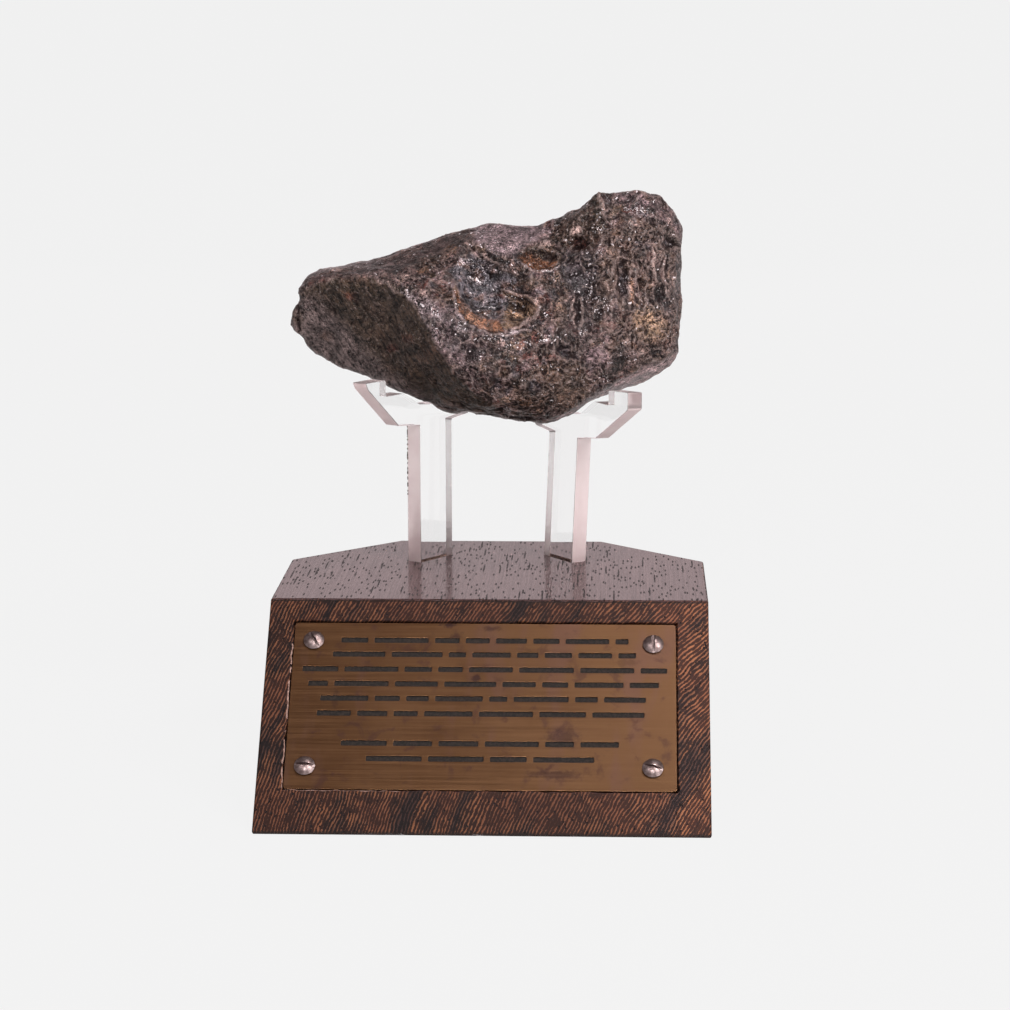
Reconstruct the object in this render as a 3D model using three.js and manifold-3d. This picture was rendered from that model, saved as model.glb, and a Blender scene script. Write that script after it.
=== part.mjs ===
// Iron meteorite on a display stand: a pitted stone rests on two clear acrylic supports
// that stand in slots of a wooden block, whose sloped front carries a brass plaque.
//
// Millimetres, +Z up, +X to the viewer's right, +Y away from the viewer.
// The origin is under the middle of the block, on the surface that it stands on.

import * as THREE from "three";
import { ConvexHull } from "three/addons/math/ConvexHull.js";
import { mergeVertices } from "three/addons/utils/BufferGeometryUtils.js";
import Module from "manifold-3d";

const wasm = await Module();
wasm.setup();

// Wooden block
const BASE_WIDTH = 117.5;
const BASE_DEPTH = 133.35;
const BASE_HEIGHT = 50.8;
const CORNER_CUT = 29.2; // length taken off each back corner, both ways, for a 45 degree cut
const BACK = BASE_DEPTH / 2;
const FRONT = -BASE_DEPTH / 2;
const TOP_FRONT = FRONT + BASE_HEIGHT; // the front slopes at 45 degrees

// Brass plaque, measured along the sloped face
const PLAQUE_WIDTH = 101.6;
const PLAQUE_HEIGHT = 50.8;
const PLAQUE_THICKNESS = 1.6;
const PLAQUE_SIDE_SHIFT = -0.8;
const PLAQUE_DROP = 7.5; // from the block's top front edge to the plaque's top edge
const RECESS_MARGIN = 0.8;
const RECESS_DEPTH = 2.1;

// Round-head slotted screws
const HEAD_RADIUS = 2.75;
const HEAD_HEIGHT = 1.7;
const SLOT_WIDTH = 0.7;
const SLOT_DEPTH = 0.8;
const SHANK_RADIUS = 1.2;
const SHANK_LENGTH = 9;
const HOLE_RADIUS = 1.6;
const ROUND_STEPS = 20;
const DOME_STEPS = 4;
const SCREWS = [
  { name: "screw_top_left", inset: [5.3, 5.7], turn: -58 },
  { name: "screw_top_right", inset: [PLAQUE_WIDTH - 6, 6.3], turn: -88 },
  { name: "screw_bottom_left", inset: [5.2, PLAQUE_HEIGHT - 6.7], turn: -4 },
  { name: "screw_bottom_right", inset: [PLAQUE_WIDTH - 6.2, PLAQUE_HEIGHT - 6.8], turn: -14 },
];

// Acrylic supports
const SHEET = 4.76;
const LEG_WIDTH = 14.3;
const LEG_DEPTH = 8; // how far a leg goes into the block
const TOE_IN = THREE.MathUtils.degToRad(35);
const REAR_SHARE = 0.82; // the rear arm's reach beside the front arm's

const GAP = 0.3; // left between pieces that touch
const CUT_OVERSHOOT = 4; // how far a cutting tool stands out of the face that it cuts

const WOOD = new THREE.MeshStandardMaterial({ color: "#4a2f26", roughness: 0.55, metalness: 0 });
const BRASS = new THREE.MeshStandardMaterial({ color: "#8a6440", roughness: 0.4, metalness: 1 });
const NICKEL = new THREE.MeshStandardMaterial({ color: "#a89c9a", roughness: 0.3, metalness: 1 });
const ACRYLIC = new THREE.MeshStandardMaterial({
  color: "#e6dedd",
  roughness: 0.1,
  metalness: 0,
  transparent: true,
  opacity: 0.4,
});
const IRON = new THREE.MeshStandardMaterial({ color: "#65534f", roughness: 0.5, metalness: 0.6 });

// Solids

function toSolid(geometry) {
  const bare = geometry.clone();
  bare.deleteAttribute("normal");
  bare.deleteAttribute("uv");
  const merged = mergeVertices(bare, 1e-4);
  return new wasm.Manifold(
    new wasm.Mesh({
      numProp: 3,
      vertProperties: merged.attributes.position.array,
      triVerts: Uint32Array.from(merged.index.array),
    }),
  );
}

function toGeometry(solid) {
  const mesh = solid.getMesh();
  const geometry = new THREE.BufferGeometry();
  geometry.setAttribute("position", new THREE.BufferAttribute(mesh.vertProperties, 3));
  geometry.setIndex(new THREE.BufferAttribute(mesh.triVerts, 1));
  geometry.computeVertexNormals();
  return geometry;
}

function named(name, geometry, material) {
  const mesh = new THREE.Mesh(geometry, material);
  mesh.name = name;
  return mesh;
}

function outline(points) {
  return new THREE.Shape(points.map(([x, y]) => new THREE.Vector2(x, y)));
}

// A frame on the sloped face: X to the right, Y up the slope, Z out of the wood,
// with its origin on the block's top front edge.
const slope = new THREE.Group();
slope.position.set(0, TOP_FRONT, BASE_HEIGHT);
slope.rotation.x = Math.PI / 4;
slope.updateMatrixWorld();

function onPlaque([fromLeft, fromTop]) {
  const left = PLAQUE_SIDE_SHIFT - PLAQUE_WIDTH / 2;
  return new THREE.Vector2(left + fromLeft, -PLAQUE_DROP - fromTop);
}

// Supports

// A forked sheet, drawn with its leg's centre line at 0 and the block's top at height 0.
// The front is on the negative side. Each entry is [reach from the centre line, height].
const LEFT_FORK = {
  shoulder: 39.6,
  flareFoot: [16.5, 40.4],
  bend: [30, 52.2],
  tip: [30.9, 54],
  notchTop: [22.3, 54],
  notchFoot: [22.2, 49.4],
  seat: [14.5, 49.4],
  saddle: [[10.5, 47.4], [7.5, 45.5], [3, 45]],
};
const RIGHT_FORK = {
  shoulder: 35.9,
  flareFoot: [15.8, 36.8],
  bend: [31, 46.8],
  tip: [30.7, 51.5],
  notchTop: [21.3, 51],
  notchFoot: [21.6, 46.9],
  seat: [14.5, 47.1],
  saddle: [[8, 42.8], [3, 42.1]],
};

function forkOutline(fork) {
  const half = LEG_WIDTH / 2;
  const arm = [
    [half, -LEG_DEPTH],
    [half, fork.shoulder],
    fork.flareFoot,
    fork.bend,
    fork.tip,
    fork.notchTop,
    fork.notchFoot,
    fork.seat,
    ...fork.saddle,
  ];
  const rear = arm.map(([reach, height]) => [half + (reach - half) * REAR_SHARE, height]);
  const front = arm.map(([reach, height]) => [-reach, height]).reverse();
  return outline([...rear, ...front]);
}

// The foot of each leg's front inner corner, and how far the top leans outward.
const SUPPORTS = [
  { name: "left_support", side: -1, foot: [-21.5, 33.9], lean: 0, fork: LEFT_FORK },
  { name: "right_support", side: 1, foot: [21.3, 34.5], lean: 3, fork: RIGHT_FORK },
];

// The sheet's own frame: X runs from front to back, Y up, and the inner face is at Z 0.
function sheetFrame({ side, foot, lean }) {
  const tilt = THREE.MathUtils.degToRad(lean);
  const along = new THREE.Vector3(-side * Math.sin(TOE_IN), Math.cos(TOE_IN), 0);
  const outward = new THREE.Vector3(side * Math.cos(TOE_IN), Math.sin(TOE_IN), 0);
  const up = new THREE.Vector3(0, 0, Math.cos(tilt)).addScaledVector(outward, Math.sin(tilt));
  const across = new THREE.Vector3().crossVectors(along, up);
  const frame = new THREE.Matrix4().makeBasis(along, up, across);
  frame.setPosition(new THREE.Vector3(...foot, BASE_HEIGHT).addScaledVector(along, LEG_WIDTH / 2));
  return frame;
}

function makeSupport(support) {
  const geometry = new THREE.ExtrudeGeometry(forkOutline(support.fork), {
    depth: SHEET,
    bevelEnabled: false,
  });
  geometry.translate(0, 0, support.side < 0 ? -SHEET : 0);
  const mesh = named(support.name, geometry, ACRYLIC);
  mesh.applyMatrix4(sheetFrame(support));
  return mesh;
}

function legSlot(support) {
  const height = LEG_DEPTH + GAP + CUT_OVERSHOOT;
  const box = new THREE.BoxGeometry(LEG_WIDTH + 2 * GAP, height, SHEET + 2 * GAP);
  box.translate(0, CUT_OVERSHOOT - height / 2, (support.side * SHEET) / 2);
  box.applyMatrix4(sheetFrame(support));
  return toSolid(box);
}

// Screws

function screwAxis({ inset }) {
  const [x, y] = onPlaque(inset);
  return new THREE.Vector3(x, y, -RECESS_DEPTH + GAP + PLAQUE_THICKNESS);
}

function makeScrew(screw) {
  const sphere = (HEAD_RADIUS ** 2 + HEAD_HEIGHT ** 2) / (2 * HEAD_HEIGHT);
  const profile = [
    [0, -SHANK_LENGTH],
    [SHANK_RADIUS, -SHANK_LENGTH + SHANK_RADIUS],
    [SHANK_RADIUS, GAP],
    [HEAD_RADIUS, GAP],
  ];
  const edge = Math.asin(HEAD_RADIUS / sphere);
  for (let i = 1; i <= DOME_STEPS; i += 1) {
    const angle = edge * (1 - i / DOME_STEPS);
    const height = GAP + HEAD_HEIGHT - sphere + sphere * Math.cos(angle);
    profile.push([sphere * Math.sin(angle), height]);
  }
  const points = profile.map(([radius, height]) => new THREE.Vector2(radius, height));
  const body = new THREE.LatheGeometry(points, ROUND_STEPS);
  const slot = new THREE.BoxGeometry(3 * HEAD_RADIUS, 2 * SLOT_DEPTH, SLOT_WIDTH);
  slot.translate(0, GAP + HEAD_HEIGHT, 0);
  const geometry = toGeometry(toSolid(body).subtract(toSolid(slot)));
  geometry.rotateX(Math.PI / 2);
  geometry.rotateZ(THREE.MathUtils.degToRad(screw.turn));
  const mesh = named(screw.name, geometry, NICKEL);
  mesh.position.copy(screwAxis(screw));
  return mesh;
}

function screwHole(screw) {
  const length = SHANK_LENGTH + 2 * GAP + CUT_OVERSHOOT;
  const hole = new THREE.CylinderGeometry(HOLE_RADIUS, HOLE_RADIUS, length, ROUND_STEPS);
  hole.rotateX(Math.PI / 2);
  const { x, y, z } = screwAxis(screw);
  hole.translate(x, y, z + CUT_OVERSHOOT - length / 2);
  return hole;
}

// Plaque and block

function makePlaque() {
  const centre = onPlaque([PLAQUE_WIDTH / 2, PLAQUE_HEIGHT / 2]);
  const plate = new THREE.BoxGeometry(PLAQUE_WIDTH, PLAQUE_HEIGHT, PLAQUE_THICKNESS);
  plate.translate(centre.x, centre.y, -RECESS_DEPTH + GAP + PLAQUE_THICKNESS / 2);
  let solid = toSolid(plate);
  for (const screw of SCREWS) {
    solid = solid.subtract(toSolid(screwHole(screw)));
  }
  return named("plaque", toGeometry(solid), BRASS);
}

function makeBase() {
  const side = outline([
    [FRONT, 0],
    [BACK, 0],
    [BACK, BASE_HEIGHT],
    [TOP_FRONT, BASE_HEIGHT],
  ]);
  const wedge = new THREE.ExtrudeGeometry(side, { depth: BASE_WIDTH, bevelEnabled: false });
  wedge.rotateX(Math.PI / 2);
  wedge.rotateZ(Math.PI / 2);
  wedge.translate(-BASE_WIDTH / 2, 0, 0);

  const half = BASE_WIDTH / 2;
  const plan = outline([
    [-half, FRONT - CUT_OVERSHOOT],
    [half, FRONT - CUT_OVERSHOOT],
    [half, BACK - CORNER_CUT],
    [half - CORNER_CUT, BACK],
    [CORNER_CUT - half, BACK],
    [-half, BACK - CORNER_CUT],
  ]);
  const depth = BASE_HEIGHT + 2 * CUT_OVERSHOOT;
  const prism = new THREE.ExtrudeGeometry(plan, { depth, bevelEnabled: false });
  prism.translate(0, 0, -CUT_OVERSHOOT);
  let block = toSolid(wedge).intersect(toSolid(prism));

  const centre = onPlaque([PLAQUE_WIDTH / 2, PLAQUE_HEIGHT / 2]);
  const recess = new THREE.BoxGeometry(
    PLAQUE_WIDTH + 2 * RECESS_MARGIN,
    PLAQUE_HEIGHT + 2 * RECESS_MARGIN,
    2 * RECESS_DEPTH,
  );
  recess.translate(centre.x, centre.y, 0);
  recess.applyMatrix4(slope.matrixWorld);
  block = block.subtract(toSolid(recess));

  for (const screw of SCREWS) {
    block = block.subtract(toSolid(screwHole(screw).applyMatrix4(slope.matrixWorld)));
  }
  for (const support of SUPPORTS) {
    block = block.subtract(legSlot(support));
  }
  return named("wooden_base", toGeometry(block), WOOD);
}

// Meteorite

// The stone's corners, where its flat faces and ridges meet.
const STONE_CENTRE = new THREE.Vector3(8, 44, 121);
const STONE_CORNERS = [
  // ridge over and beside the dark front left face
  [-49, 29, 131], [-39, 26, 133.5], [-29, 22, 132.5], [-23.5, 20, 128.5],
  [-19.5, 18, 123], [-16, 17, 116], [-11.5, 16.5, 110], [-7.5, 17.5, 104],
  // hollow of the dark face
  [-43, 31.5, 118], [-31, 27, 117], [-20.5, 24, 107.5],
  // left end
  [-56.5, 34, 129], [-56.5, 36, 116], [-55, 32, 123],
  // top outline, left to right
  [-55, 41, 131.5], [-39, 44, 136], [-19, 46, 142], [-2.5, 45, 147], [11, 44, 146],
  [18.5, 44, 147.5], [25, 43, 152], [29, 40, 156.5], [39, 42, 156.5], [46.5, 44, 154.5],
  [52.5, 44, 146.5], [53.3, 44, 136], [52.5, 44, 126], [52, 38, 111],
  // bottom outline, right to left
  [50, 42, 106.5], [38, 44, 100], [26.5, 40, 96], [21.5, 36, 92.5], [14.5, 31, 90.5],
  [5, 31, 92], [-8, 32, 93], [-14, 34, 92.8], [-21, 34, 95.8], [-27.5, 32, 99.3],
  [-43, 36, 104.5], [-49, 38, 108], [-54.5, 38, 113],
  // band over the bottom outline
  [-2.5, 20.5, 99], [8, 22, 96],
  // upper left strip
  [-46.5, 34, 134], [-27, 34, 137], [-15.5, 31, 138.5],
  // pale shelf under the top outline
  [-5.5, 33, 143], [4, 33, 141.5], [17.5, 37, 144.5], [24, 33.5, 145.5], [30, 30.5, 147],
  // rim of the large pit
  [-11, 29.5, 136], [1.5, 29.5, 140], [8, 27, 136], [12.5, 24, 130], [11, 21, 123.5],
  [6, 18.5, 119.5], [-0.5, 17, 118.5], [-7.5, 17.5, 121.5], [-12.5, 20, 128],
  // floor of the large pit
  [-4.5, 29.5, 133.5], [1.5, 26.5, 126.5], [7, 28, 127],
  // rim and floor of the small pit
  [8.5, 34, 141], [19.5, 33.5, 139], [17, 29, 135], [11, 29, 135], [13.5, 34.5, 138.5],
  // furrow between the pits and the right face
  [22.5, 29.5, 136], [22.5, 28, 129], [23, 25, 120],
  // under the pits
  [-3.5, 16, 113], [18, 20, 117], [2, 15, 108.5], [13, 17, 103.5], [24, 20.5, 107],
  // right face
  [29, 27, 139], [33, 24.5, 131], [34.5, 31, 147], [43, 33, 149], [42, 29, 139],
  [40, 27, 127], [48.5, 32, 126.5], [49.5, 33, 138], [32.5, 22.5, 114], [43, 27.5, 115.5],
  // upper edge of the bevel at the lower right
  [51.5, 33, 112], [41.5, 28, 108], [32, 25, 103], [24.5, 24.5, 98.5], [16, 25, 93.5],
  // back, upper, middle and lower
  [-44, 50, 127], [-26, 57, 134], [-6, 59, 138], [14, 57, 142], [30, 54, 150], [43, 54, 150],
  [-50, 46, 119], [-33, 58, 117], [-8, 64, 121], [14, 65, 122], [34, 62, 127], [48, 54, 130],
  [-44, 46, 108], [-27, 52, 105], [-8, 56, 104.5], [12, 57, 101.5], [31, 57, 103], [46, 50, 110],
];
const FACET_STEPS = 6;
const ROUNDING_PASSES = 3;

function spreadFacets(corners, steps) {
  const directions = corners.map((corner) => corner.clone().sub(STONE_CENTRE).normalize());
  const hull = new ConvexHull().setFromPoints(directions);
  const places = new Map();
  const points = [];
  const triangles = [];
  function pointAt(weights) {
    const key = weights
      .filter(([, share]) => share > 0)
      .map(([corner, share]) => `${corner}:${share}`)
      .sort()
      .join(" ");
    if (!places.has(key)) {
      const point = new THREE.Vector3();
      for (const [corner, share] of weights) {
        point.addScaledVector(corners[corner], share / steps);
      }
      places.set(key, points.length);
      points.push(point);
    }
    return places.get(key);
  }
  for (const face of hull.faces) {
    const [a, b, c] = [face.edge, face.edge.next, face.edge.next.next].map((edge) =>
      directions.indexOf(edge.head().point),
    );
    const at = (i, j) => pointAt([[a, steps - i - j], [b, i], [c, j]]);
    for (let i = 0; i < steps; i += 1) {
      for (let j = 0; j < steps - i; j += 1) {
        triangles.push([at(i, j), at(i + 1, j), at(i, j + 1)]);
        if (i + j < steps - 1) {
          triangles.push([at(i + 1, j), at(i + 1, j + 1), at(i, j + 1)]);
        }
      }
    }
  }
  return { points, triangles };
}

function roundRidges({ points, triangles }, passes) {
  const neighbours = points.map(() => new Set());
  for (const [a, b, c] of triangles) {
    neighbours[a].add(b).add(c);
    neighbours[b].add(a).add(c);
    neighbours[c].add(a).add(b);
  }
  for (let pass = 0; pass < passes; pass += 1) {
    const moved = points.map((point, i) => {
      const mean = new THREE.Vector3();
      for (const other of neighbours[i]) {
        mean.add(points[other]);
      }
      mean.divideScalar(neighbours[i].size);
      return point.clone().lerp(mean, 0.5);
    });
    moved.forEach((point, i) => points[i].copy(point));
  }
}

// Thumbprint pits: the middle on the surface, the direction they sink in,
// their half width and half height, the turn of the width in degrees, and the depth.
// A depth below 0 is a lump.
const PITS = [
  // deepening of the two pits on the front
  { at: [0, 26, 129], sink: [0.1, 0.86, -0.5], size: [11, 9.5], turn: -30, depth: 1.4 },
  { at: [13.5, 33, 138], sink: [0, 0.7, -0.7], size: [6.2, 4.6], turn: -6, depth: 1.2 },
  // knob on the left end
  { at: [-55.5, 36, 120.5], sink: [1, 0.1, 0], size: [5, 5.5], turn: 0, depth: -3.4 },
  // shallow hollow of the dark face
  { at: [-33, 27, 118], sink: [0.5, 0.8, 0.3], size: [13, 9], turn: -30, depth: 1 },
  // cavity under the ledge by the hump, and a dent on the right face
  { at: [22.5, 32, 142], sink: [-0.3, 0.9, -0.3], size: [3.2, 2.8], turn: 0, depth: 1.3 },
  { at: [49, 34, 142], sink: [-0.5, 0.85, -0.1], size: [3, 4.5], turn: 0, depth: 1 },
  // furrows down the right face and under the pits
  { at: [36, 27, 134], sink: [0, 0.95, -0.2], size: [2.6, 9], turn: 8, depth: 0.9 },
  { at: [20, 21, 115], sink: [0, 1, 0], size: [3, 7], turn: -25, depth: 1 },
  // back and top
  { at: [-20, 60, 124], sink: [0.1, -1, 0], size: [10, 7.5], turn: 15, depth: 2.4 },
  { at: [11, 62, 113], sink: [0, -0.95, 0.3], size: [8.5, 7], turn: -20, depth: 2 },
  { at: [33, 59, 137], sink: [-0.3, -0.9, -0.2], size: [7, 9], turn: 10, depth: 2.2 },
  { at: [-32, 50, 135.5], sink: [0.1, -0.4, -0.9], size: [8, 5], turn: 12, depth: 1.2 },
];

// How far above or below its middle a pit still moves the surface.
const PIT_REACH = 12;

function sinkPits(points) {
  for (const pit of PITS) {
    const middle = new THREE.Vector3(...pit.at);
    const inward = new THREE.Vector3(...pit.sink).normalize();
    const right = new THREE.Vector3(1, 0, 0).cross(inward).cross(inward).negate().normalize();
    right.applyAxisAngle(inward, THREE.MathUtils.degToRad(pit.turn));
    const up = new THREE.Vector3().crossVectors(inward, right);
    for (const point of points) {
      const offset = point.clone().sub(middle);
      const away = Math.hypot(offset.dot(right) / pit.size[0], offset.dot(up) / pit.size[1]);
      if (away < 1 && Math.abs(offset.dot(inward)) < PIT_REACH) {
        point.addScaledVector(inward, pit.depth * (1 - away ** 2));
      }
    }
  }
}

// Gentle swells over the whole skin, in millimetres.
function swell({ x, y, z }) {
  const broad = Math.sin(x / 2.9 + 1.7 * Math.sin(z / 4.3)) * Math.sin(z / 2.6 + y / 3.7);
  const fine = Math.sin(x / 1.7 - z / 2.1 + 1.3 * Math.sin(y / 2.3)) * Math.sin(y / 1.9 + z / 3.1);
  return 0.35 * broad + 0.2 * fine;
}

function makeMeteorite() {
  const corners = STONE_CORNERS.map((corner) => new THREE.Vector3(...corner));
  const stone = spreadFacets(corners, FACET_STEPS);
  roundRidges(stone, ROUNDING_PASSES);
  sinkPits(stone.points);
  const geometry = new THREE.BufferGeometry().setFromPoints(stone.points);
  geometry.setIndex(stone.triangles.flat());
  geometry.computeVertexNormals();
  const { position, normal } = geometry.attributes;
  const point = new THREE.Vector3();
  const outward = new THREE.Vector3();
  for (let i = 0; i < position.count; i += 1) {
    point.fromBufferAttribute(position, i);
    outward.fromBufferAttribute(normal, i);
    point.addScaledVector(outward, swell(point));
    position.setXYZ(i, point.x, point.y, point.z);
  }
  return named("meteorite", geometry, IRON);
}

const fittings = new THREE.Group();
fittings.position.copy(slope.position);
fittings.rotation.copy(slope.rotation);
fittings.add(makePlaque());
for (const screw of SCREWS) {
  fittings.add(makeScrew(screw));
}

const display = new THREE.Group();
display.add(makeBase());
display.add(fittings);
for (const support of SUPPORTS) {
  display.add(makeSupport(support));
}
display.add(makeMeteorite());

export default display;
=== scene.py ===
"""Looks of an iron meteorite on its display stand: a pitted stone on two clear forked supports,
which stand in slots of a dark wooden block whose sloped front carries a brass plate.

Lengths are in millimetres up to the point where a mesh is made, and Blender's are in metres.
+Z is up, +X is to the viewer's right, +Y goes from the sloped front to the back.
"""

import math

import bmesh
import bpy
import numpy as np
from mathutils import Matrix, Vector
from mathutils.geometry import delaunay_2d_cdt


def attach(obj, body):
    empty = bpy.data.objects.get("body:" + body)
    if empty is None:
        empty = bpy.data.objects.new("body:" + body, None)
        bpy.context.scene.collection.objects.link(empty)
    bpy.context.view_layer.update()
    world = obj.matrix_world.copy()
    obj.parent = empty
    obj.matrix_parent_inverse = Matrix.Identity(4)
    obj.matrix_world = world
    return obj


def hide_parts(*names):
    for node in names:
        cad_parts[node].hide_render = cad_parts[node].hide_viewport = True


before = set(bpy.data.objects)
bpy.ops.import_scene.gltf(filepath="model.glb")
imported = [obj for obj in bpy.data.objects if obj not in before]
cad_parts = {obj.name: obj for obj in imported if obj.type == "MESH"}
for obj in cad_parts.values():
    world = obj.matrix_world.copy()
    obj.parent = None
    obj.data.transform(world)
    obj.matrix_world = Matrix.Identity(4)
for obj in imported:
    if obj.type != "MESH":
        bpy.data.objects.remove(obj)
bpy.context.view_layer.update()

MM = 0.001

# Camera, at the photo's place
CAMERA_PLACE = np.array((35.4, -809.9, 221.6))
YAW = math.radians(-2.24)
PITCH = math.radians(-10.34)
ROLL = math.radians(-0.13)
FOCAL_PIXELS = 3028.8
IMAGE_PIXELS = 1010
SENSOR = 36.0


def camera_axes():
    forward = Vector((math.sin(YAW) * math.cos(PITCH), math.cos(YAW) * math.cos(PITCH), math.sin(PITCH)))
    level = Vector((math.cos(YAW), -math.sin(YAW), 0))
    steep = level.cross(forward)
    right = level * math.cos(ROLL) + steep * math.sin(ROLL)
    up = steep * math.cos(ROLL) - level * math.sin(ROLL)
    return forward, right, up


FORWARD, RIGHT, UP = camera_axes()


def to_picture(points):
    """Where points, in millimetres, fall in the photo's frame: across and down, in its pixels."""
    offset = points - CAMERA_PLACE
    depth = offset @ np.array(FORWARD)
    across = IMAGE_PIXELS / 2 + FOCAL_PIXELS * (offset @ np.array(RIGHT)) / depth
    down = IMAGE_PIXELS / 2 - FOCAL_PIXELS * (offset @ np.array(UP)) / depth
    return np.stack([across, down], axis=1)


def make_camera():
    data = bpy.data.cameras.new("camera")
    data.sensor_width = SENSOR
    data.lens = FOCAL_PIXELS / IMAGE_PIXELS * SENSOR
    data.clip_start = 0.01
    data.clip_end = 100
    camera = bpy.data.objects.new("camera", data)
    turn = Matrix((RIGHT, UP, -FORWARD)).transposed().to_4x4()
    camera.matrix_world = Matrix.Translation(Vector(CAMERA_PLACE) * MM) @ turn
    bpy.context.scene.collection.objects.link(camera)
    bpy.context.scene.camera = camera


# Noise


def smooth(low, high, value):
    share = np.clip((value - low) / (high - low), 0, 1)
    return share * share * (3 - 2 * share)


TABLE_SIZE = 4096
_table_rng = np.random.default_rng(20)
ARROWS = _table_rng.normal(size=(TABLE_SIZE, 3))
ARROWS /= np.linalg.norm(ARROWS, axis=1)[:, None]
PLACES = _table_rng.random((TABLE_SIZE, 3))
CELL_CORNERS = np.array([(i, j, k) for i in (0, 1) for j in (0, 1) for k in (0, 1)])
CELL_NEIGHBOURS = np.array([(i, j, k) for i in (-1, 0, 1) for j in (-1, 0, 1) for k in (-1, 0, 1)])


def mixed(cells, seed):
    """A repeatable table entry for each lattice cell."""
    wide = cells.astype(np.int64)
    value = wide[:, 0] * 374761393 + wide[:, 1] * 668265263 + wide[:, 2] * 1440662683 + seed * 1013904223
    value &= 0xFFFFFFFF
    value = ((value ^ (value >> 13)) * 1274126177) & 0xFFFFFFFF
    return (value ^ (value >> 16)) % TABLE_SIZE


def noise(points, length, seed):
    """Gradient noise with features of about that length, roughly -1 to 1."""
    place = points / length + seed * 17.3
    cell = np.floor(place)
    inner = place - cell
    ease = inner**3 * (inner * (inner * 6 - 15) + 10)
    total = np.zeros(len(points))
    for corner in CELL_CORNERS:
        arrow = ARROWS[mixed(cell + corner, seed)]
        weight = np.prod(np.where(corner, ease, 1 - ease), axis=1)
        total += weight * np.sum(arrow * (inner - corner), axis=1)
    return total * 1.6


def octaves(points, length, seed, layers, fade):
    """The weight and the noise of each layer, whose features are half as long as those of the one before."""
    share = 1.0
    for layer in range(layers):
        yield share, noise(points, length / 2**layer, seed + layer)
        share *= fade


def layered(points, length, seed, layers=4, fade=0.5):
    return sum(share * value for share, value in octaves(points, length, seed, layers, fade))


def creased(points, length, seed, layers=3, fade=0.5):
    """Noise with sharp crests, 0 to about 1."""
    rows = list(octaves(points, length, seed, layers, fade))
    return sum(share * (1 - np.abs(value) * 1.6) for share, value in rows) / sum(share for share, _ in rows)


def nearest_spot(points, length, seed):
    """The distance to the nearest of scattered spots, in cell lengths."""
    place = points / length
    cell = np.floor(place)
    nearest = np.full(len(points), 9.0)
    for step in CELL_NEIGHBOURS:
        spot_place = cell + step + PLACES[mixed(cell + step, seed)]
        nearest = np.minimum(nearest, np.linalg.norm(place - spot_place, axis=1))
    return nearest


# Meshes


def linked(name, mesh, materials):
    for material in materials:
        mesh.materials.append(material)
    thing = bpy.data.objects.new(name, mesh)
    bpy.context.scene.collection.objects.link(thing)
    return thing


def make_object(name, points, faces, materials, smooth_faces=True):
    """points in millimetres."""
    mesh = bpy.data.meshes.new(name)
    mesh.from_pydata((np.asarray(points) * MM).tolist(), [], [list(map(int, f)) for f in faces])
    mesh.polygons.foreach_set("use_smooth", [smooth_faces] * len(mesh.polygons))
    mesh.update()
    return linked(name, mesh, materials)


def from_form(name, form, materials):
    """An object made of a bmesh, which isn't used after this."""
    mesh = bpy.data.meshes.new(name)
    form.to_mesh(mesh)
    form.free()
    return linked(name, mesh, materials)


def joined_loops(form, rings, material_of=None):
    """Side faces between rings of equal length, and an end face on the first and the last."""
    made = [[form.verts.new(p) for p in ring] for ring in rings]
    count = len(rings[0])
    for level, (low, high) in enumerate(zip(made, made[1:])):
        for i in range(count):
            j = (i + 1) % count
            face = form.faces.new((low[i], low[j], high[j], high[i]))
            if material_of:
                face.material_index = material_of(level, i)
    form.faces.new(made[0][::-1])
    form.faces.new(made[-1])


def turn_outward(form):
    bmesh.ops.recalc_face_normals(form, faces=form.faces[:])


def shrink_to_metres(form):
    bmesh.ops.scale(form, vec=(MM, MM, MM), verts=form.verts[:])


def round_edges(form, edges, width, steps, profile=0.5):
    bmesh.ops.bevel(form, geom=edges, offset=width, segments=steps, profile=profile, affect="EDGES")


def add_attribute(mesh, name, kind, entry, values):
    mesh.attributes.new(name, kind, "POINT").data.foreach_set(entry, values.astype(np.float32).ravel())


def apply_modifiers(thing):
    bpy.context.view_layer.update()
    graph = bpy.context.evaluated_depsgraph_get()
    mesh = bpy.data.meshes.new_from_object(thing.evaluated_get(graph))
    thing.modifiers.clear()
    thing.data = mesh


def cut_away(thing, cutter):
    """Adds the cut, which apply_modifiers then makes."""
    tool = thing.modifiers.new(cutter.name, "BOOLEAN")
    tool.object = cutter
    tool.operation = "DIFFERENCE"
    tool.solver = "EXACT"


def stand_for(thing, node):
    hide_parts(node)
    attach(thing, "root")


# Material nodes


class Value:
    """An output of a node, which takes part in sums and products like a number."""

    def __init__(self, nodes, socket):
        self.nodes = nodes
        self.socket = socket

    def __add__(self, other):
        return self.nodes.math("ADD", self, other)

    def __sub__(self, other):
        return self.nodes.math("SUBTRACT", self, other)

    def __rsub__(self, other):
        return self.nodes.math("SUBTRACT", other, self)

    def __mul__(self, other):
        return self.nodes.math("MULTIPLY", self, other)

    def __truediv__(self, other):
        return self.nodes.math("DIVIDE", self, other)


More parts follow.
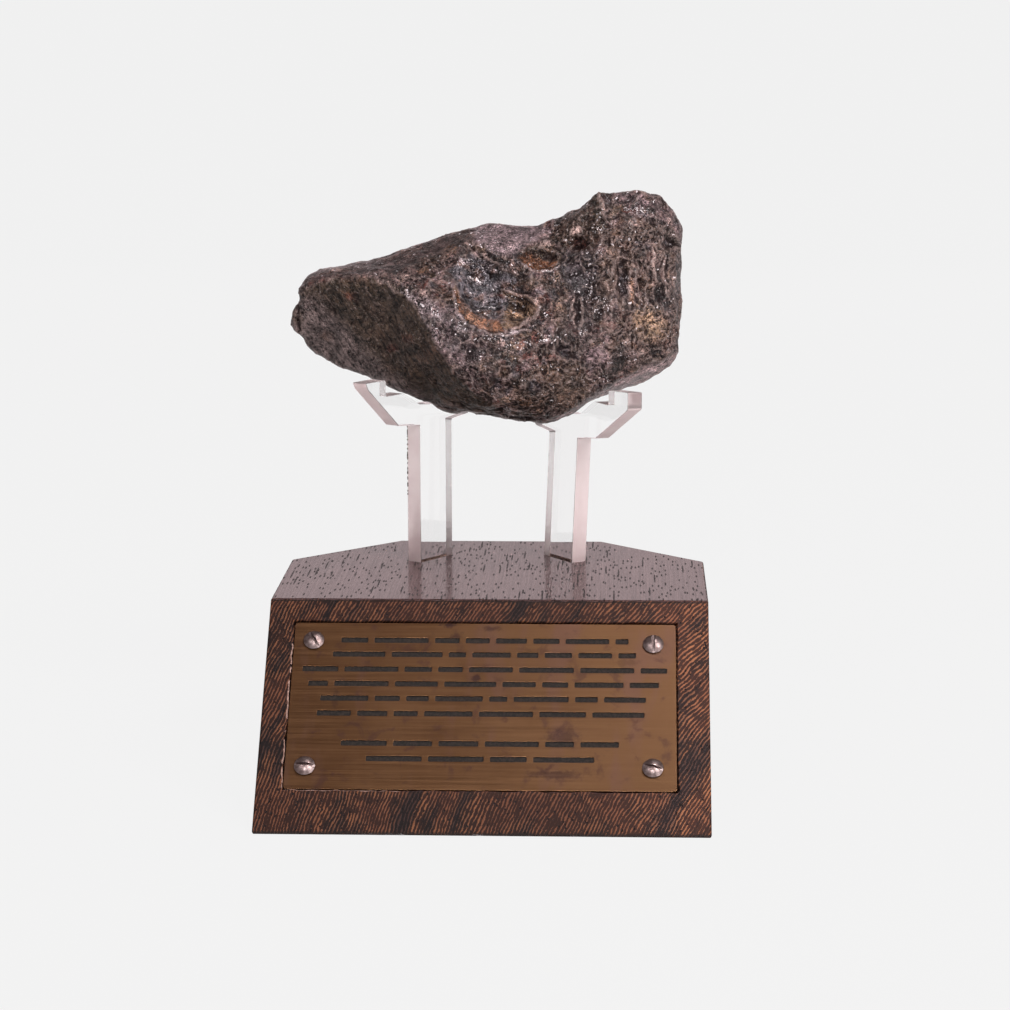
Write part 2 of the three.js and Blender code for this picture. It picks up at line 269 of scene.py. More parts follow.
class Nodes:
    """A short way to write the nodes of a material or of the world."""

    def __init__(self, name, kind="materials"):
        self.owner = getattr(bpy.data, kind).new(name)
        self.owner.use_nodes = True
        self.tree = self.owner.node_tree
        self.tree.nodes.clear()
        self.coordinates = None

    def wire(self, socket, value):
        if isinstance(value, Value):
            self.tree.links.new(value.socket, socket)
        elif value is not None:
            socket.default_value = value

    def node(self, kind, inputs, **settings):
        made = self.tree.nodes.new(kind)
        for key, value in settings.items():
            setattr(made, key, value)
        for key, value in inputs.items():
            self.wire(made.inputs[key], value)
        return made

    def value(self, output, kind, inputs, **settings):
        """One output of a new node."""
        return Value(self, self.node(kind, inputs, **settings).outputs[output])

    def place(self, *stretch):
        """The object's own coordinates in millimetres, divided by stretch."""
        if not self.coordinates:
            self.coordinates = self.value("Object", "ShaderNodeTexCoord", {})
        return self.vector("MULTIPLY", self.coordinates, [1 / (MM * s) for s in stretch or (1, 1, 1)])

    def vector(self, operation, a, b):
        return self.value(0, "ShaderNodeVectorMath", {0: a, 1: b}, operation=operation)

    def split(self, vector):
        """The three parts of a vector."""
        return [Value(self, output) for output in self.node("ShaderNodeSeparateXYZ", {0: vector}).outputs]

    def join(self, x, y, z):
        return self.value(0, "ShaderNodeCombineXYZ", {0: x, 1: y, 2: z})

    def upward(self):
        """How far the surface faces up, from -1 to 1."""
        return self.split(self.value("Normal", "ShaderNodeNewGeometry", {}))[2]

    def noise(self, where, scale, detail=3.0, roughness=0.55, distortion=0.0, output="Fac"):
        inputs = {"Vector": where, "Scale": scale, "Detail": detail, "Roughness": roughness, "Distortion": distortion}
        return self.value(output, "ShaderNodeTexNoise", inputs)

    def dots(self, where, scale, dimensions="3D"):
        """Scattered dots: the distance from the nearest one's middle, and a number of its own from 0 to 1."""
        made = self.node("ShaderNodeTexVoronoi", {"Vector": where, "Scale": scale}, voronoi_dimensions=dimensions)
        distance, colour = (Value(self, made.outputs[name]) for name in ("Distance", "Color"))
        return distance, self.value(0, "ShaderNodeSeparateColor", {0: colour})

    def field(self, name, output="Fac"):
        return self.value(output, "ShaderNodeAttribute", {}, attribute_name=name)

    def math(self, operation, a, b=None):
        return self.value(0, "ShaderNodeMath", {0: a, 1: b}, operation=operation)

    def span(self, value, low, high, to_low=0.0, to_high=1.0, smoothly=True):
        inputs = {"Value": value, "From Min": low, "From Max": high, "To Min": to_low, "To Max": to_high}
        way = "SMOOTHSTEP" if smoothly else "LINEAR"
        return self.value("Result", "ShaderNodeMapRange", inputs, interpolation_type=way)

    def blend(self, share, a, b, how="MIX"):
        a, b = (value if isinstance(value, Value) else (*value, 1) for value in (a, b))
        return self.value(2, "ShaderNodeMix", {"Factor": share, 6: a, 7: b}, data_type="RGBA", blend_type=how)

    def lit(self, colour, light):
        """A colour made lighter or darker."""
        grey = self.value(0, "ShaderNodeCombineColor", {0: light, 1: light, 2: light})
        return self.blend(1.0, colour, grey, "MULTIPLY")

    def bump(self, height, strength, distance):
        return self.value(0, "ShaderNodeBump", {"Height": height, "Strength": strength, "Distance": distance * MM})

    def surface(self, **inputs):
        named = {key.replace("_", " "): value for key, value in inputs.items()}
        filled = {key: (*value, 1) if isinstance(value, tuple) else value for key, value in named.items()}
        shader = self.value(0, "ShaderNodeBsdfPrincipled", filled)
        self.node("ShaderNodeOutputMaterial", {"Surface": shader})
        return self.owner


def grainy_material(name, stretch, noise_look, span, colours, bump, **more):
    """A material of one noise between two colours."""
    n = Nodes(name)
    grain = n.noise(n.place(*stretch), *noise_look)
    return n.surface(Base_Color=n.blend(n.span(grain, *span), *colours), Normal=n.bump(grain, *bump), **more)


# Stone: the corners where its flat faces and ridges meet

STONE_CENTRE = np.array((8.0, 44.0, 121.0))
STONE_CORNERS = [
    # ridge over and beside the dark front left face
    (-49, 29, 131), (-39, 26, 133.5), (-29, 22, 132.5), (-23.5, 20, 128.5),
    (-19.5, 18, 123), (-16, 17, 116), (-11.5, 16.5, 110), (-7.5, 17.5, 104),
    # hollow of the dark face
    (-43, 31.5, 118), (-31, 27, 117), (-20.5, 24, 107.5),
    # left end
    (-56.5, 34, 129), (-56.5, 36, 116), (-55, 32, 123),
    # top outline, left to right
    (-55, 41, 131.5), (-39, 44, 136), (-19, 46, 142), (-2.5, 45, 147), (11, 44, 146),
    (18.5, 44, 147.5), (25, 43, 152), (29, 40, 156.5), (39, 42, 156.5), (46.5, 44, 154.5),
    (52.5, 44, 146.5), (53.3, 44, 136), (52.5, 44, 126), (52, 38, 111),
    # bottom outline, right to left
    (50, 42, 106.5), (38, 44, 100), (26.5, 40, 96), (21.5, 36, 92.5), (14.5, 31, 90.5),
    (5, 31, 92), (-8, 32, 93), (-14, 34, 92.8), (-21, 34, 95.8), (-27.5, 32, 99.3),
    (-43, 36, 104.5), (-49, 38, 108), (-54.5, 38, 113),
    # band over the bottom outline
    (-2.5, 20.5, 99), (8, 22, 96),
    # upper left strip
    (-46.5, 34, 134), (-27, 34, 137), (-15.5, 31, 138.5),
    # pale shelf under the top outline
    (-5.5, 33, 143), (4, 33, 141.5), (17.5, 37, 144.5), (24, 33.5, 145.5), (30, 30.5, 147),
    # rim of the large pit
    (-11, 29.5, 136), (1.5, 29.5, 140), (8, 27, 136), (12.5, 24, 130), (11, 21, 123.5),
    (6, 18.5, 119.5), (-0.5, 17, 118.5), (-7.5, 17.5, 121.5), (-12.5, 20, 128),
    # floor of the large pit
    (-4.5, 29.5, 133.5), (1.5, 26.5, 126.5), (7, 28, 127),
    # rim and floor of the small pit
    (8.5, 34, 141), (19.5, 33.5, 139), (17, 29, 135), (11, 29, 135), (13.5, 34.5, 138.5),
    # furrow between the pits and the right face
    (22.5, 29.5, 136), (22.5, 28, 129), (23, 25, 120),
    # under the pits
    (-3.5, 16, 113), (18, 20, 117), (2, 15, 108.5), (13, 17, 103.5), (24, 20.5, 107),
    # right face
    (29, 27, 139), (33, 24.5, 131), (34.5, 31, 147), (43, 33, 149), (42, 29, 139),
    (40, 27, 127), (48.5, 32, 126.5), (49.5, 33, 138), (32.5, 22.5, 114), (43, 27.5, 115.5),
    # upper edge of the bevel at the lower right
    (51.5, 33, 112), (41.5, 28, 108), (32, 25, 103), (24.5, 24.5, 98.5), (16, 25, 93.5),
    # back, upper, middle and lower
    (-44, 50, 127), (-26, 57, 134), (-6, 59, 138), (14, 57, 142), (30, 54, 150), (43, 54, 150),
    (-50, 46, 119), (-33, 58, 117), (-8, 64, 121), (14, 65, 122), (34, 62, 127), (48, 54, 130),
    (-44, 46, 108), (-27, 52, 105), (-8, 56, 104.5), (12, 57, 101.5), (31, 57, 103), (46, 50, 110),
]
FACET_STEPS = 12
ROUNDING_PASSES = 12
VOXEL = 0.79
DENSE_FACING = -0.05

# Thumbprint pits: the middle, the direction they sink in, half width and half height,
# the turn of the width in degrees, and the depth. A depth below 0 is a lump.
PITS = [
    ((0, 26, 129), (0.1, 0.86, -0.5), (11, 9.5), -30, 1.4),
    ((13.5, 33, 138), (0, 0.7, -0.7), (6.2, 4.6), -6, 1.2),
    ((-55.5, 36, 120.5), (1, 0.1, 0), (5, 5.5), 0, -3.4),
    ((-33, 27, 118), (0.5, 0.8, 0.3), (13, 9), -30, 1),
    ((22.5, 32, 142), (-0.3, 0.9, -0.3), (3.2, 2.8), 0, 1.3),
    ((49, 34, 142), (-0.5, 0.85, -0.1), (3, 4.5), 0, 1),
    ((36, 27, 134), (0, 0.95, -0.2), (2.6, 9), 8, 0.9),
    ((20, 21, 115), (0, 1, 0), (3, 7), -25, 1),
    ((-20, 60, 124), (0.1, -1, 0), (10, 7.5), 15, 2.4),
    ((11, 62, 113), (0, -0.95, 0.3), (8.5, 7), -20, 2),
    ((33, 59, 137), (-0.3, -0.9, -0.2), (7, 9), 10, 2.2),
    ((-32, 50, 135.5), (0.1, -0.4, -0.9), (8, 5), 12, 1.2),
]
PIT_REACH = 12


def unit(vectors):
    return vectors / np.linalg.norm(vectors, axis=-1, keepdims=True)


def spread_facets():
    corners = np.array(STONE_CORNERS, float)
    form = bmesh.new()
    for direction in unit(corners - STONE_CENTRE):
        form.verts.new(direction)
    form.verts.index_update()
    bmesh.ops.convex_hull(form, input=form.verts[:])
    facets = np.array([[v.index for v in face.verts] for face in form.faces])
    form.free()
    rows = [(i, j) for i in range(FACET_STEPS + 1) for j in range(FACET_STEPS + 1 - i)]
    number = {row: n for n, row in enumerate(rows)}
    shares = np.array([(FACET_STEPS - i - j, i, j) for i, j in rows]) / FACET_STEPS
    triangles = []
    for i in range(FACET_STEPS):
        for j in range(FACET_STEPS - i):
            triangles.append((number[i, j], number[i + 1, j], number[i, j + 1]))
            if i + j < FACET_STEPS - 1:
                triangles.append((number[i + 1, j], number[i + 1, j + 1], number[i, j + 1]))
    points = np.einsum("sc,fcx->fsx", shares, corners[facets])
    indices = np.arange(len(facets))[:, None, None] * len(rows) + np.array(triangles)[None]
    keys = np.round(points.reshape(-1, 3), 5)
    _, first, same = np.unique(keys, axis=0, return_index=True, return_inverse=True)
    return points.reshape(-1, 3)[first], same.reshape(-1)[indices.reshape(-1, 3)]


def edges_of(faces):
    pairs = np.concatenate([faces[:, [i, (i + 1) % faces.shape[1]]] for i in range(faces.shape[1])])
    return np.unique(np.sort(pairs, axis=1), axis=0)


def neighbour_mean(values, pairs, count):
    """The mean of each point's neighbours, for an array of rows."""
    degree = np.bincount(pairs.ravel(), minlength=count)
    columns = []
    for k in range(values.shape[1]):
        total = np.bincount(pairs[:, 0], values[pairs[:, 1], k], count)
        total += np.bincount(pairs[:, 1], values[pairs[:, 0], k], count)
        columns.append(total / degree)
    return np.stack(columns, axis=1)


def relaxed(values, pairs, passes, share=0.5):
    flat = values.ndim == 1
    rows = values[:, None] if flat else values
    for _ in range(passes):
        rows = rows * (1 - share) + share * neighbour_mean(rows, pairs, len(rows))
    return rows[:, 0] if flat else rows


def sink_pits(points):
    for middle, sink, half, turn, depth in PITS:
        inward = unit(np.array(sink, float))
        right = -unit(np.cross(np.cross((1, 0, 0), inward), inward))
        turned = Matrix.Rotation(math.radians(turn), 3, Vector(inward)) @ Vector(right)
        up = np.cross(inward, turned)
        offset = points - np.array(middle)
        away = np.hypot(offset @ np.array(turned) / half[0], offset @ up / half[1])
        close = (away < 1) & (np.abs(offset @ inward) < PIT_REACH)
        points += np.where(close, depth * (1 - away**2), 0)[:, None] * inward


def normals_of(points, faces):
    """Point normals, of triangles or quads."""
    start, end, base = (1, 2, 0) if faces.shape[1] == 3 else (2, 3, 1)
    first, second = points[faces[:, start]] - points[faces[:, 0]], points[faces[:, end]] - points[faces[:, base]]
    across = np.cross(first, second)
    total = np.zeros_like(points)
    for corner in faces.T:
        for k in range(3):
            total[:, k] += np.bincount(corner, across[:, k], len(points))
    return unit(total)


def facing_of(points, normals):
    """1 where the surface faces the camera, 0 at the outline."""
    return -np.sum(normals * unit(points - CAMERA_PLACE), axis=1)


def denser(points, quads, chosen):
    """Quads as triangles: eight in each chosen one, two elsewhere, and no open seam between them."""
    count = len(points)
    sides = np.sort(np.stack([quads, np.roll(quads, -1, axis=1)], axis=2), axis=2)
    keys, where = np.unique(sides[..., 0] * count + sides[..., 1], return_inverse=True)
    where = where.reshape(quads.shape)
    cut = np.zeros(len(keys), bool)
    cut[where[chosen]] = True
    middle_of = count + np.cumsum(cut) - 1
    middles = (points[keys[cut] // count] + points[keys[cut] % count]) / 2
    fanned = cut[where].any(axis=1)
    centres = points[quads[fanned]].mean(axis=1)
    hub = count + len(middles) + np.arange(len(centres))
    triangles = [quads[~fanned][:, [0, 1, 2]], quads[~fanned][:, [0, 2, 3]]]
    for i in range(4):
        a, b, side = quads[fanned][:, i], quads[fanned][:, (i + 1) % 4], where[fanned][:, i]
        halved = cut[side]
        middle = middle_of[side]
        triangles.append(np.stack([a, b, hub], axis=1)[~halved])
        triangles.append(np.stack([a, middle, hub], axis=1)[halved])
        triangles.append(np.stack([middle, b, hub], axis=1)[halved])
    return np.concatenate([points, middles, centres]), np.concatenate(triangles)


def remeshed(points, triangles):
    """The same surface in even quads."""
    thing = make_object("cage", points / MM, triangles, [])
    tool = thing.modifiers.new("even", "REMESH")
    tool.mode = "VOXEL"
    tool.voxel_size = VOXEL
    apply_modifiers(thing)
    mesh = thing.data
    place = np.zeros(len(mesh.vertices) * 3)
    mesh.vertices.foreach_get("co", place)
    corners = np.zeros(len(mesh.loops), int)
    mesh.loops.foreach_get("vertex_index", corners)
    bpy.data.objects.remove(thing)
    bpy.data.meshes.remove(mesh)
    return place.reshape(-1, 3), corners.reshape(-1, 4)


# Forms seen on the stone's front, placed by the photo's pixels


def from_side(place, a, b):
    """Distances of places from the straight side from a to b, and how far along it they are, 0 to 1."""
    side = b - a
    along = np.clip((place - a) @ side / (side @ side), 0, 1)
    return np.linalg.norm(place - a - along[:, None] * side, axis=1), along


def inside(place, outline, edge):
    """1 well inside a closed outline, 0 outside it, with a soft edge that many pixels wide."""
    down = place[:, 1]
    within = np.zeros(len(place), bool)
    away = np.full(len(place), 1e9)
    for a, b in zip(outline, [*outline[1:], outline[0]]):
        a, b = np.array(a, float), np.array(b, float)
        away = np.minimum(away, from_side(place, a, b)[0])
        crosses = (a[1] > down) != (b[1] > down)
        with np.errstate(divide="ignore", invalid="ignore"):
            reach = a[0] + (down - a[1]) * (b - a)[0] / (b - a)[1]
        within ^= crosses & (place[:, 0] < reach)
    return smooth(-edge / 2, edge / 2, np.where(within, away, -away))


def near_line(place, line, half):
    """1 on a line, fading to 0 at half pixels from it, thinner towards its ends."""
    best = np.zeros(len(place))
    steps = [np.array(p, float) for p in line]
    lengths = [np.linalg.norm(b - a) for a, b in zip(steps, steps[1:])]
    whole = sum(lengths)
    done = 0.0
    for a, b, length in zip(steps, steps[1:], lengths):
        away, along = from_side(place, a, b)
        share = (done + along * length) / whole
        taper = np.clip(4 * share * (1 - share), 0.15, 1) ** 0.5
        best = np.maximum(best, np.clip(1 - away / (half * taper), 0, 1))
        done += length
    return best * best * (3 - 2 * best)


def spot(place, middle, half, turn=0.0, gain=1.6):
    """1 round the middle of an ellipse, 0 at its edge; a larger gain makes the full part wider."""
    angle = math.radians(turn)
    x, y = place[:, 0] - middle[0], place[:, 1] - middle[1]
    u = (x * math.cos(angle) + y * math.sin(angle)) / half[0]
    v = (y * math.cos(angle) - x * math.sin(angle)) / half[1]
    return np.clip(gain * smooth(0, 1, 1 - np.hypot(u, v)), 0, 1)


DARK_FACE = [
    (304, 290), (318, 283), (333, 278), (374, 278), (396, 291), (407, 295), (414, 306), (423, 316),
    (432, 339), (448, 357), (455, 374), (464, 384), (485, 399), (500, 425), (400, 420), (285, 345), (285, 300),
]
GREY_FACE = [
    (288, 296), (312, 296), (336, 316), (362, 345), (392, 374), (428, 398), (470, 412), (500, 425), (400, 420),
    (285, 345),
]
UPPER_STRIP = [
    (298, 290), (303, 276), (318, 270), (345, 264), (400, 252), (470, 228), (480, 226), (478, 246), (455, 262),
    (420, 277), (392, 286), (370, 279), (330, 279), (308, 288),
]
PIT_METAL = [
    (450, 268), (460, 260), (473, 256), (484, 260), (496, 267), (508, 274), (518, 281), (526, 293),
    (514, 291), (502, 289), (491, 294), (506, 299), (508, 309), (496, 319), (480, 318), (471, 305),
    (463, 296), (456, 282),
]
PIT_RUST = [
    (450, 286), (455, 297), (458, 312), (466, 320), (479, 329), (495, 332), (505, 331), (500, 322),
    (486, 320), (473, 312), (463, 304), (458, 290),
]
POCKET = [
    (500, 291), (510, 293), (520, 296.5), (531, 299), (537, 305), (534, 315), (522, 323.5), (508, 330),
    (500, 326), (507, 315), (508, 300),
]
SMALL_PIT = [(518, 253), (527, 247), (540, 245), (554, 247), (563, 254), (559, 264), (545, 270), (528, 265)]
SMALL_PIT_FLOOR = [(518, 257), (527, 252), (538, 256), (548, 259), (557, 262), (551, 268), (538, 270.5), (526, 266)]
PLATEAU = [
    (470, 224), (489, 221), (510, 223), (537, 224), (550, 231), (532, 243), (516, 253), (500, 256), (486, 250),
    (476, 240),
]
HUMP_SHADE = [
    (598, 193), (601, 211), (606, 224), (596, 240), (584, 250), (566, 248), (548, 236), (556, 222), (578, 207),
]
DARK_COLUMN = [(564, 250), (580, 252), (597, 256), (602, 275), (596, 296), (580, 300), (567, 285), (560, 268)]
BEVEL = [
    (679, 354), (660, 362), (644, 368), (609, 387), (583.5, 401), (551.6, 420), (560, 430), (640, 400), (690, 370),
]
MIDDLE_SHADE = [
    (556, 246), (580, 250), (600, 254), (605, 275), (598, 300), (592, 325), (594, 345), (580, 362), (556, 356),
    (548, 338), (562, 320), (568, 300), (560, 275),
]
RIDGE_LIGHT = [
    (396, 289), (414, 290), (440, 300), (452, 318), (468, 338), (500, 346), (500, 370), (476, 388), (458, 374),
    (440, 345), (426, 318), (410, 300),
]
LOWER_BROWN = [
    (530, 372), (556, 362), (580, 368), (592, 384), (578, 402), (556, 414), (530, 408), (508, 398), (512, 380),
]
RIGHT_FACE = [
    (603, 226), (640, 222), (672, 230), (684, 250), (684, 350), (640, 364), (612, 347), (596, 300),
]

# Colours of the crust, as the share of red, green and blue light that it gives back
CRUST = (0.066, 0.042, 0.039)
STRIP = (0.048, 0.031, 0.029)
MAUVE = (0.130, 0.089, 0.094)
OLIVE = (0.040, 0.026, 0.017)
LILAC_AND_SHEEN = (0.105, 0.080, 0.078)
UMBER = (0.052, 0.029, 0.020)
OCHRE = (0.120, 0.060, 0.033)
EARTH = (0.140, 0.092, 0.068)
RUST = (0.165, 0.070, 0.036)
PALE_RUST = (0.330, 0.175, 0.110)
GOLD = (0.320, 0.205, 0.132)
# Pink crust, and the colour of painted glints and painted highlights on lit crests
PINK_CRUST_AND_HIGHLIGHT = (0.340, 0.240, 0.215)
# Pale crust, and the colour of painted glints and painted highlights along lit lips and ridges
PALE_CRUST_AND_HIGHLIGHT = (0.270, 0.220, 0.230)
STEEL = (0.082, 0.076, 0.086)
INK = (0.042, 0.036, 0.042)
BLOOD = (0.060, 0.018, 0.014)

# Coloured areas, among them painted shade on the dark face and the hump's left side and painted sheen on the grey
# face and the bevel: outline, soft edge in pixels, colour, strength
AREAS = [
    (UPPER_STRIP, 5, STRIP, 0.8),
    # The dark face: a dark crust, with painted shade because it is turned away from the lights
    (DARK_FACE, 4, OLIVE, 0.93),
    # The grey face: a paler crust with a painted sheen on the dark face's lower left
    (GREY_FACE, 16, LILAC_AND_SHEEN, 0.8),
    (PLATEAU, 8, (0.176, 0.130, 0.138), 0.85),
    (RIGHT_FACE, 14, (0.092, 0.062, 0.054), 0.6),
    (RIDGE_LIGHT, 12, (0.072, 0.050, 0.054), 0.6),
    (LOWER_BROWN, 10, (0.070, 0.042, 0.030), 0.7),
    (MIDDLE_SHADE, 12, (0.050, 0.034, 0.033), 0.7),
    (HUMP_SHADE, 4, (0.034, 0.019, 0.013), 0.92),
    (DARK_COLUMN, 9, INK, 0.7),
    # Painted sheen: the bevel, which faces down, is painted pale
    (BEVEL, 4, (0.330, 0.235, 0.235), 0.9),
    (PIT_METAL, 4, STEEL, 0.95),
    (PIT_RUST, 3, RUST, 0.9),
    (POCKET, 2, (0.150, 0.092, 0.058), 0.9),
    (SMALL_PIT, 4, OLIVE, 0.8),
    (SMALL_PIT_FLOOR, 4, (0.190, 0.078, 0.040), 0.85),
]
# Smaller marks, among them painted glints and highlights and painted shade left of the hump's crest: colour, middle,
# half width and half height in pixels, turn in degrees, strength
MARKS = [
    (BLOOD, (318, 280), (15, 5), -15, 0.6), (OLIVE, (392, 293), (32, 13), 12, 0.8),
    (OCHRE, (350, 294), (8, 6), 0, 0.75), (BLOOD, (393, 348), (8, 7), 0, 0.6),
    (UMBER, (424, 357), (12, 9), 20, 0.8), (UMBER, (327, 336), (9, 7), 0, 0.6),
    (PINK_CRUST_AND_HIGHLIGHT, (338, 270.5), (14, 3), -6, 0.6), (PINK_CRUST_AND_HIGHLIGHT, (383, 281.5), (8, 3.5), 0, 0.6),
    (PINK_CRUST_AND_HIGHLIGHT, (402, 276), (10, 5), -10, 0.6), (UMBER, (427, 262), (17, 9), -20, 0.8),
    (OCHRE, (423, 268), (9, 5), -15, 0.6), (OLIVE, (432, 274.5), (6, 5), 0, 0.95),
    (OCHRE, (449, 250), (13, 7), -25, 0.4), (PINK_CRUST_AND_HIGHLIGHT, (468, 245), (7, 5), 0, 0.5),
    (OLIVE, (478, 250), (10, 3.5), 40, 0.7), (PALE_CRUST_AND_HIGHLIGHT, (412, 297), (12, 6), 42, 0.6),
    (PALE_CRUST_AND_HIGHLIGHT, (432, 310), (20, 9), 50, 0.55), (PALE_CRUST_AND_HIGHLIGHT, (460, 327), (17, 8), 40, 0.6),
    (PALE_CRUST_AND_HIGHLIGHT, (452, 345), (10, 12), 40, 0.4), (INK, (487, 266), (16, 7), 22, 0.75),
    (PALE_CRUST_AND_HIGHLIGHT, (464, 260), (8, 5), 30, 0.7), (PALE_RUST, (473, 319), (12, 6), 42, 0.6),
    (UMBER, (516, 302), (9, 8), 20, 0.5), (PALE_CRUST_AND_HIGHLIGHT, (512, 333), (20, 3), -6, 0.45),
    (EARTH, (532, 285), (9, 9), 0, 0.6), (INK, (553, 294), (9, 10), 0, 0.6), (EARTH, (556, 277), (8, 7), 0, 0.5),
    (BLOOD, (577.5, 313), (3.5, 14), 0, 0.85), (PINK_CRUST_AND_HIGHLIGHT, (573, 312), (2.6, 12), 4, 0.6),
    (INK, (567, 351), (15, 10), 25, 0.85), (MAUVE, (598, 358), (22, 18), 20, 0.8),
    (INK, (588, 325), (8, 9), 0, 0.4), (EARTH, (489, 366), (19, 12), 0, 0.55),
    (RUST, (505, 371), (8.5, 8), 0, 0.5), (OLIVE, (505, 373.5), (4, 4), 0, 0.9),
    (INK, (534, 388), (11, 11), 0, 0.8), (OCHRE, (524, 402), (14, 8), 20, 0.7),
    (EARTH, (563, 390), (22, 24), 0, 0.6), (OCHRE, (556, 372), (12, 8), 0, 0.4),
    (MAUVE, (634, 199), (36, 12), 5, 0.75), (MAUVE, (664, 215), (14, 16), 35, 0.6),
    # Painted shade left of the hump's crest
    (OLIVE, (598, 213), (7, 19), -8, 0.95), (PINK_CRUST_AND_HIGHLIGHT, (577, 231), (9, 4.5), -20, 0.85),
    (BLOOD, (579, 243.5), (10, 6.5), 0, 0.9), (PALE_CRUST_AND_HIGHLIGHT, (588, 257), (6, 3.5), 0, 0.6),
    (OCHRE, (618, 231), (9, 7), 20, 0.7), (RUST, (622, 247), (7, 6), 0, 0.4),
    (PINK_CRUST_AND_HIGHLIGHT, (619, 238.5), (5, 3.5), 0, 0.8), (INK, (640, 246), (14, 9), 15, 0.65),
    (EARTH, (606, 270), (11, 19), 0, 0.6), (INK, (623, 279), (6.5, 30), 0, 0.75),
    (PALE_RUST, (631, 293), (4, 20), 0, 0.5), (PINK_CRUST_AND_HIGHLIGHT, (653, 265), (3.5, 16), -5, 0.6),
    (OCHRE, (645, 283), (7, 12), -8, 0.5), (INK, (670, 243), (12, 7), 0, 0.85),
    (INK, (661, 300), (9, 14), -20, 0.5), (GOLD, (651, 329), (25, 19), 25, 0.75),
    (PINK_CRUST_AND_HIGHLIGHT, (626, 341.5), (5, 4.5), 0, 0.9), (RUST, (633, 345), (6, 5), 0, 0.55),
    (PINK_CRUST_AND_HIGHLIGHT, (670.5, 355), (8, 6), 0, 0.8), (INK, (657, 355), (8, 6), 0, 0.7), (INK, (677, 275), (6, 34), 0, 0.6),
    (EARTH, (612, 212), (10, 12), 20, 0.6), (PINK_CRUST_AND_HIGHLIGHT, (634, 226), (14, 6), 20, 0.45),
    (INK, (637, 229), (3.5, 3), 0, 0.9), (INK, (655, 222), (9, 5), 25, 0.8), (PALE_CRUST_AND_HIGHLIGHT, (608, 271), (7, 9), 0, 0.3),
    (INK, (667, 262), (4, 14), -8, 0.7), (INK, (616, 302), (4, 15), 5, 0.6), (OLIVE, (297, 318), (8, 14), 0, 0.7),
    (OLIVE, (346, 286), (30, 7), 0, 0.85), ((0.075, 0.024, 0.016), (352, 296), (12, 7), 10, 0.6),
    ((0.070, 0.026, 0.018), (408, 338), (10, 8), 30, 0.5), ((0.070, 0.034, 0.020), (430, 350), (12, 10), 30, 0.5),
    (INK, (640, 378), (20, 3), -25, 0.6), (UMBER, (612, 392), (16, 3), -28, 0.6),
    (UMBER, (590, 240), (10, 12), 0, 0.6), (INK, (520, 350), (9, 5), 20, 0.5), (INK, (478, 352), (8, 5), 0, 0.5),
    (GOLD, (648, 318), (14, 18), 20, 0.8), ((0.020, 0.016, 0.020), (567, 350), (13, 8), 25, 0.8),
    ((0.020, 0.016, 0.020), (487, 264), (14, 5), 22, 0.6), (OLIVE, (468, 404), (42, 6), 11, 0.8),
    (OLIVE, (528, 415), (36, 5), 6, 0.8),
]
# Lines that are both drawn and raised or sunk
POCKET_RIM = [(500.5, 289), (520, 295), (531, 297.5), (538.5, 304), (536.5, 315.5), (524, 325), (508, 332.5)]
POCKET_GROOVE = [(503, 293), (520, 298.5), (530, 301.5), (534, 306)]
UPPER_SHELL = [(508, 301), (520, 303), (531, 309)]
MIDDLE_SHELL = [(508, 308), (519, 310), (528, 316)]
LOWER_SHELL = [(506, 320), (515, 318), (523, 322)]
SMALL_PIT_LIP = [(518, 262), (528, 268), (538, 271), (549, 272), (560, 266)]
PIT_LEFT_LIP = [(451, 285), (454, 299), (457, 312), (465, 322), (479, 331), (492, 334)]
PIT_LOWER_LIP = [(491, 335.4), (506, 336.5), (520, 331), (531, 331)]
MIDDLE_GROOVE = [(578.5, 300), (578, 313), (577, 326)]
MIDDLE_LIP = [(582, 253), (586, 259), (593, 259), (596, 253)]
HUMP_LIP = [(568, 237), (573, 231), (580, 228), (586, 228)]
RIGHT_CREST = [(664, 258), (663, 280), (668, 300)]
LOWER_GROOVE = [(556, 345), (566, 351), (578, 359)]
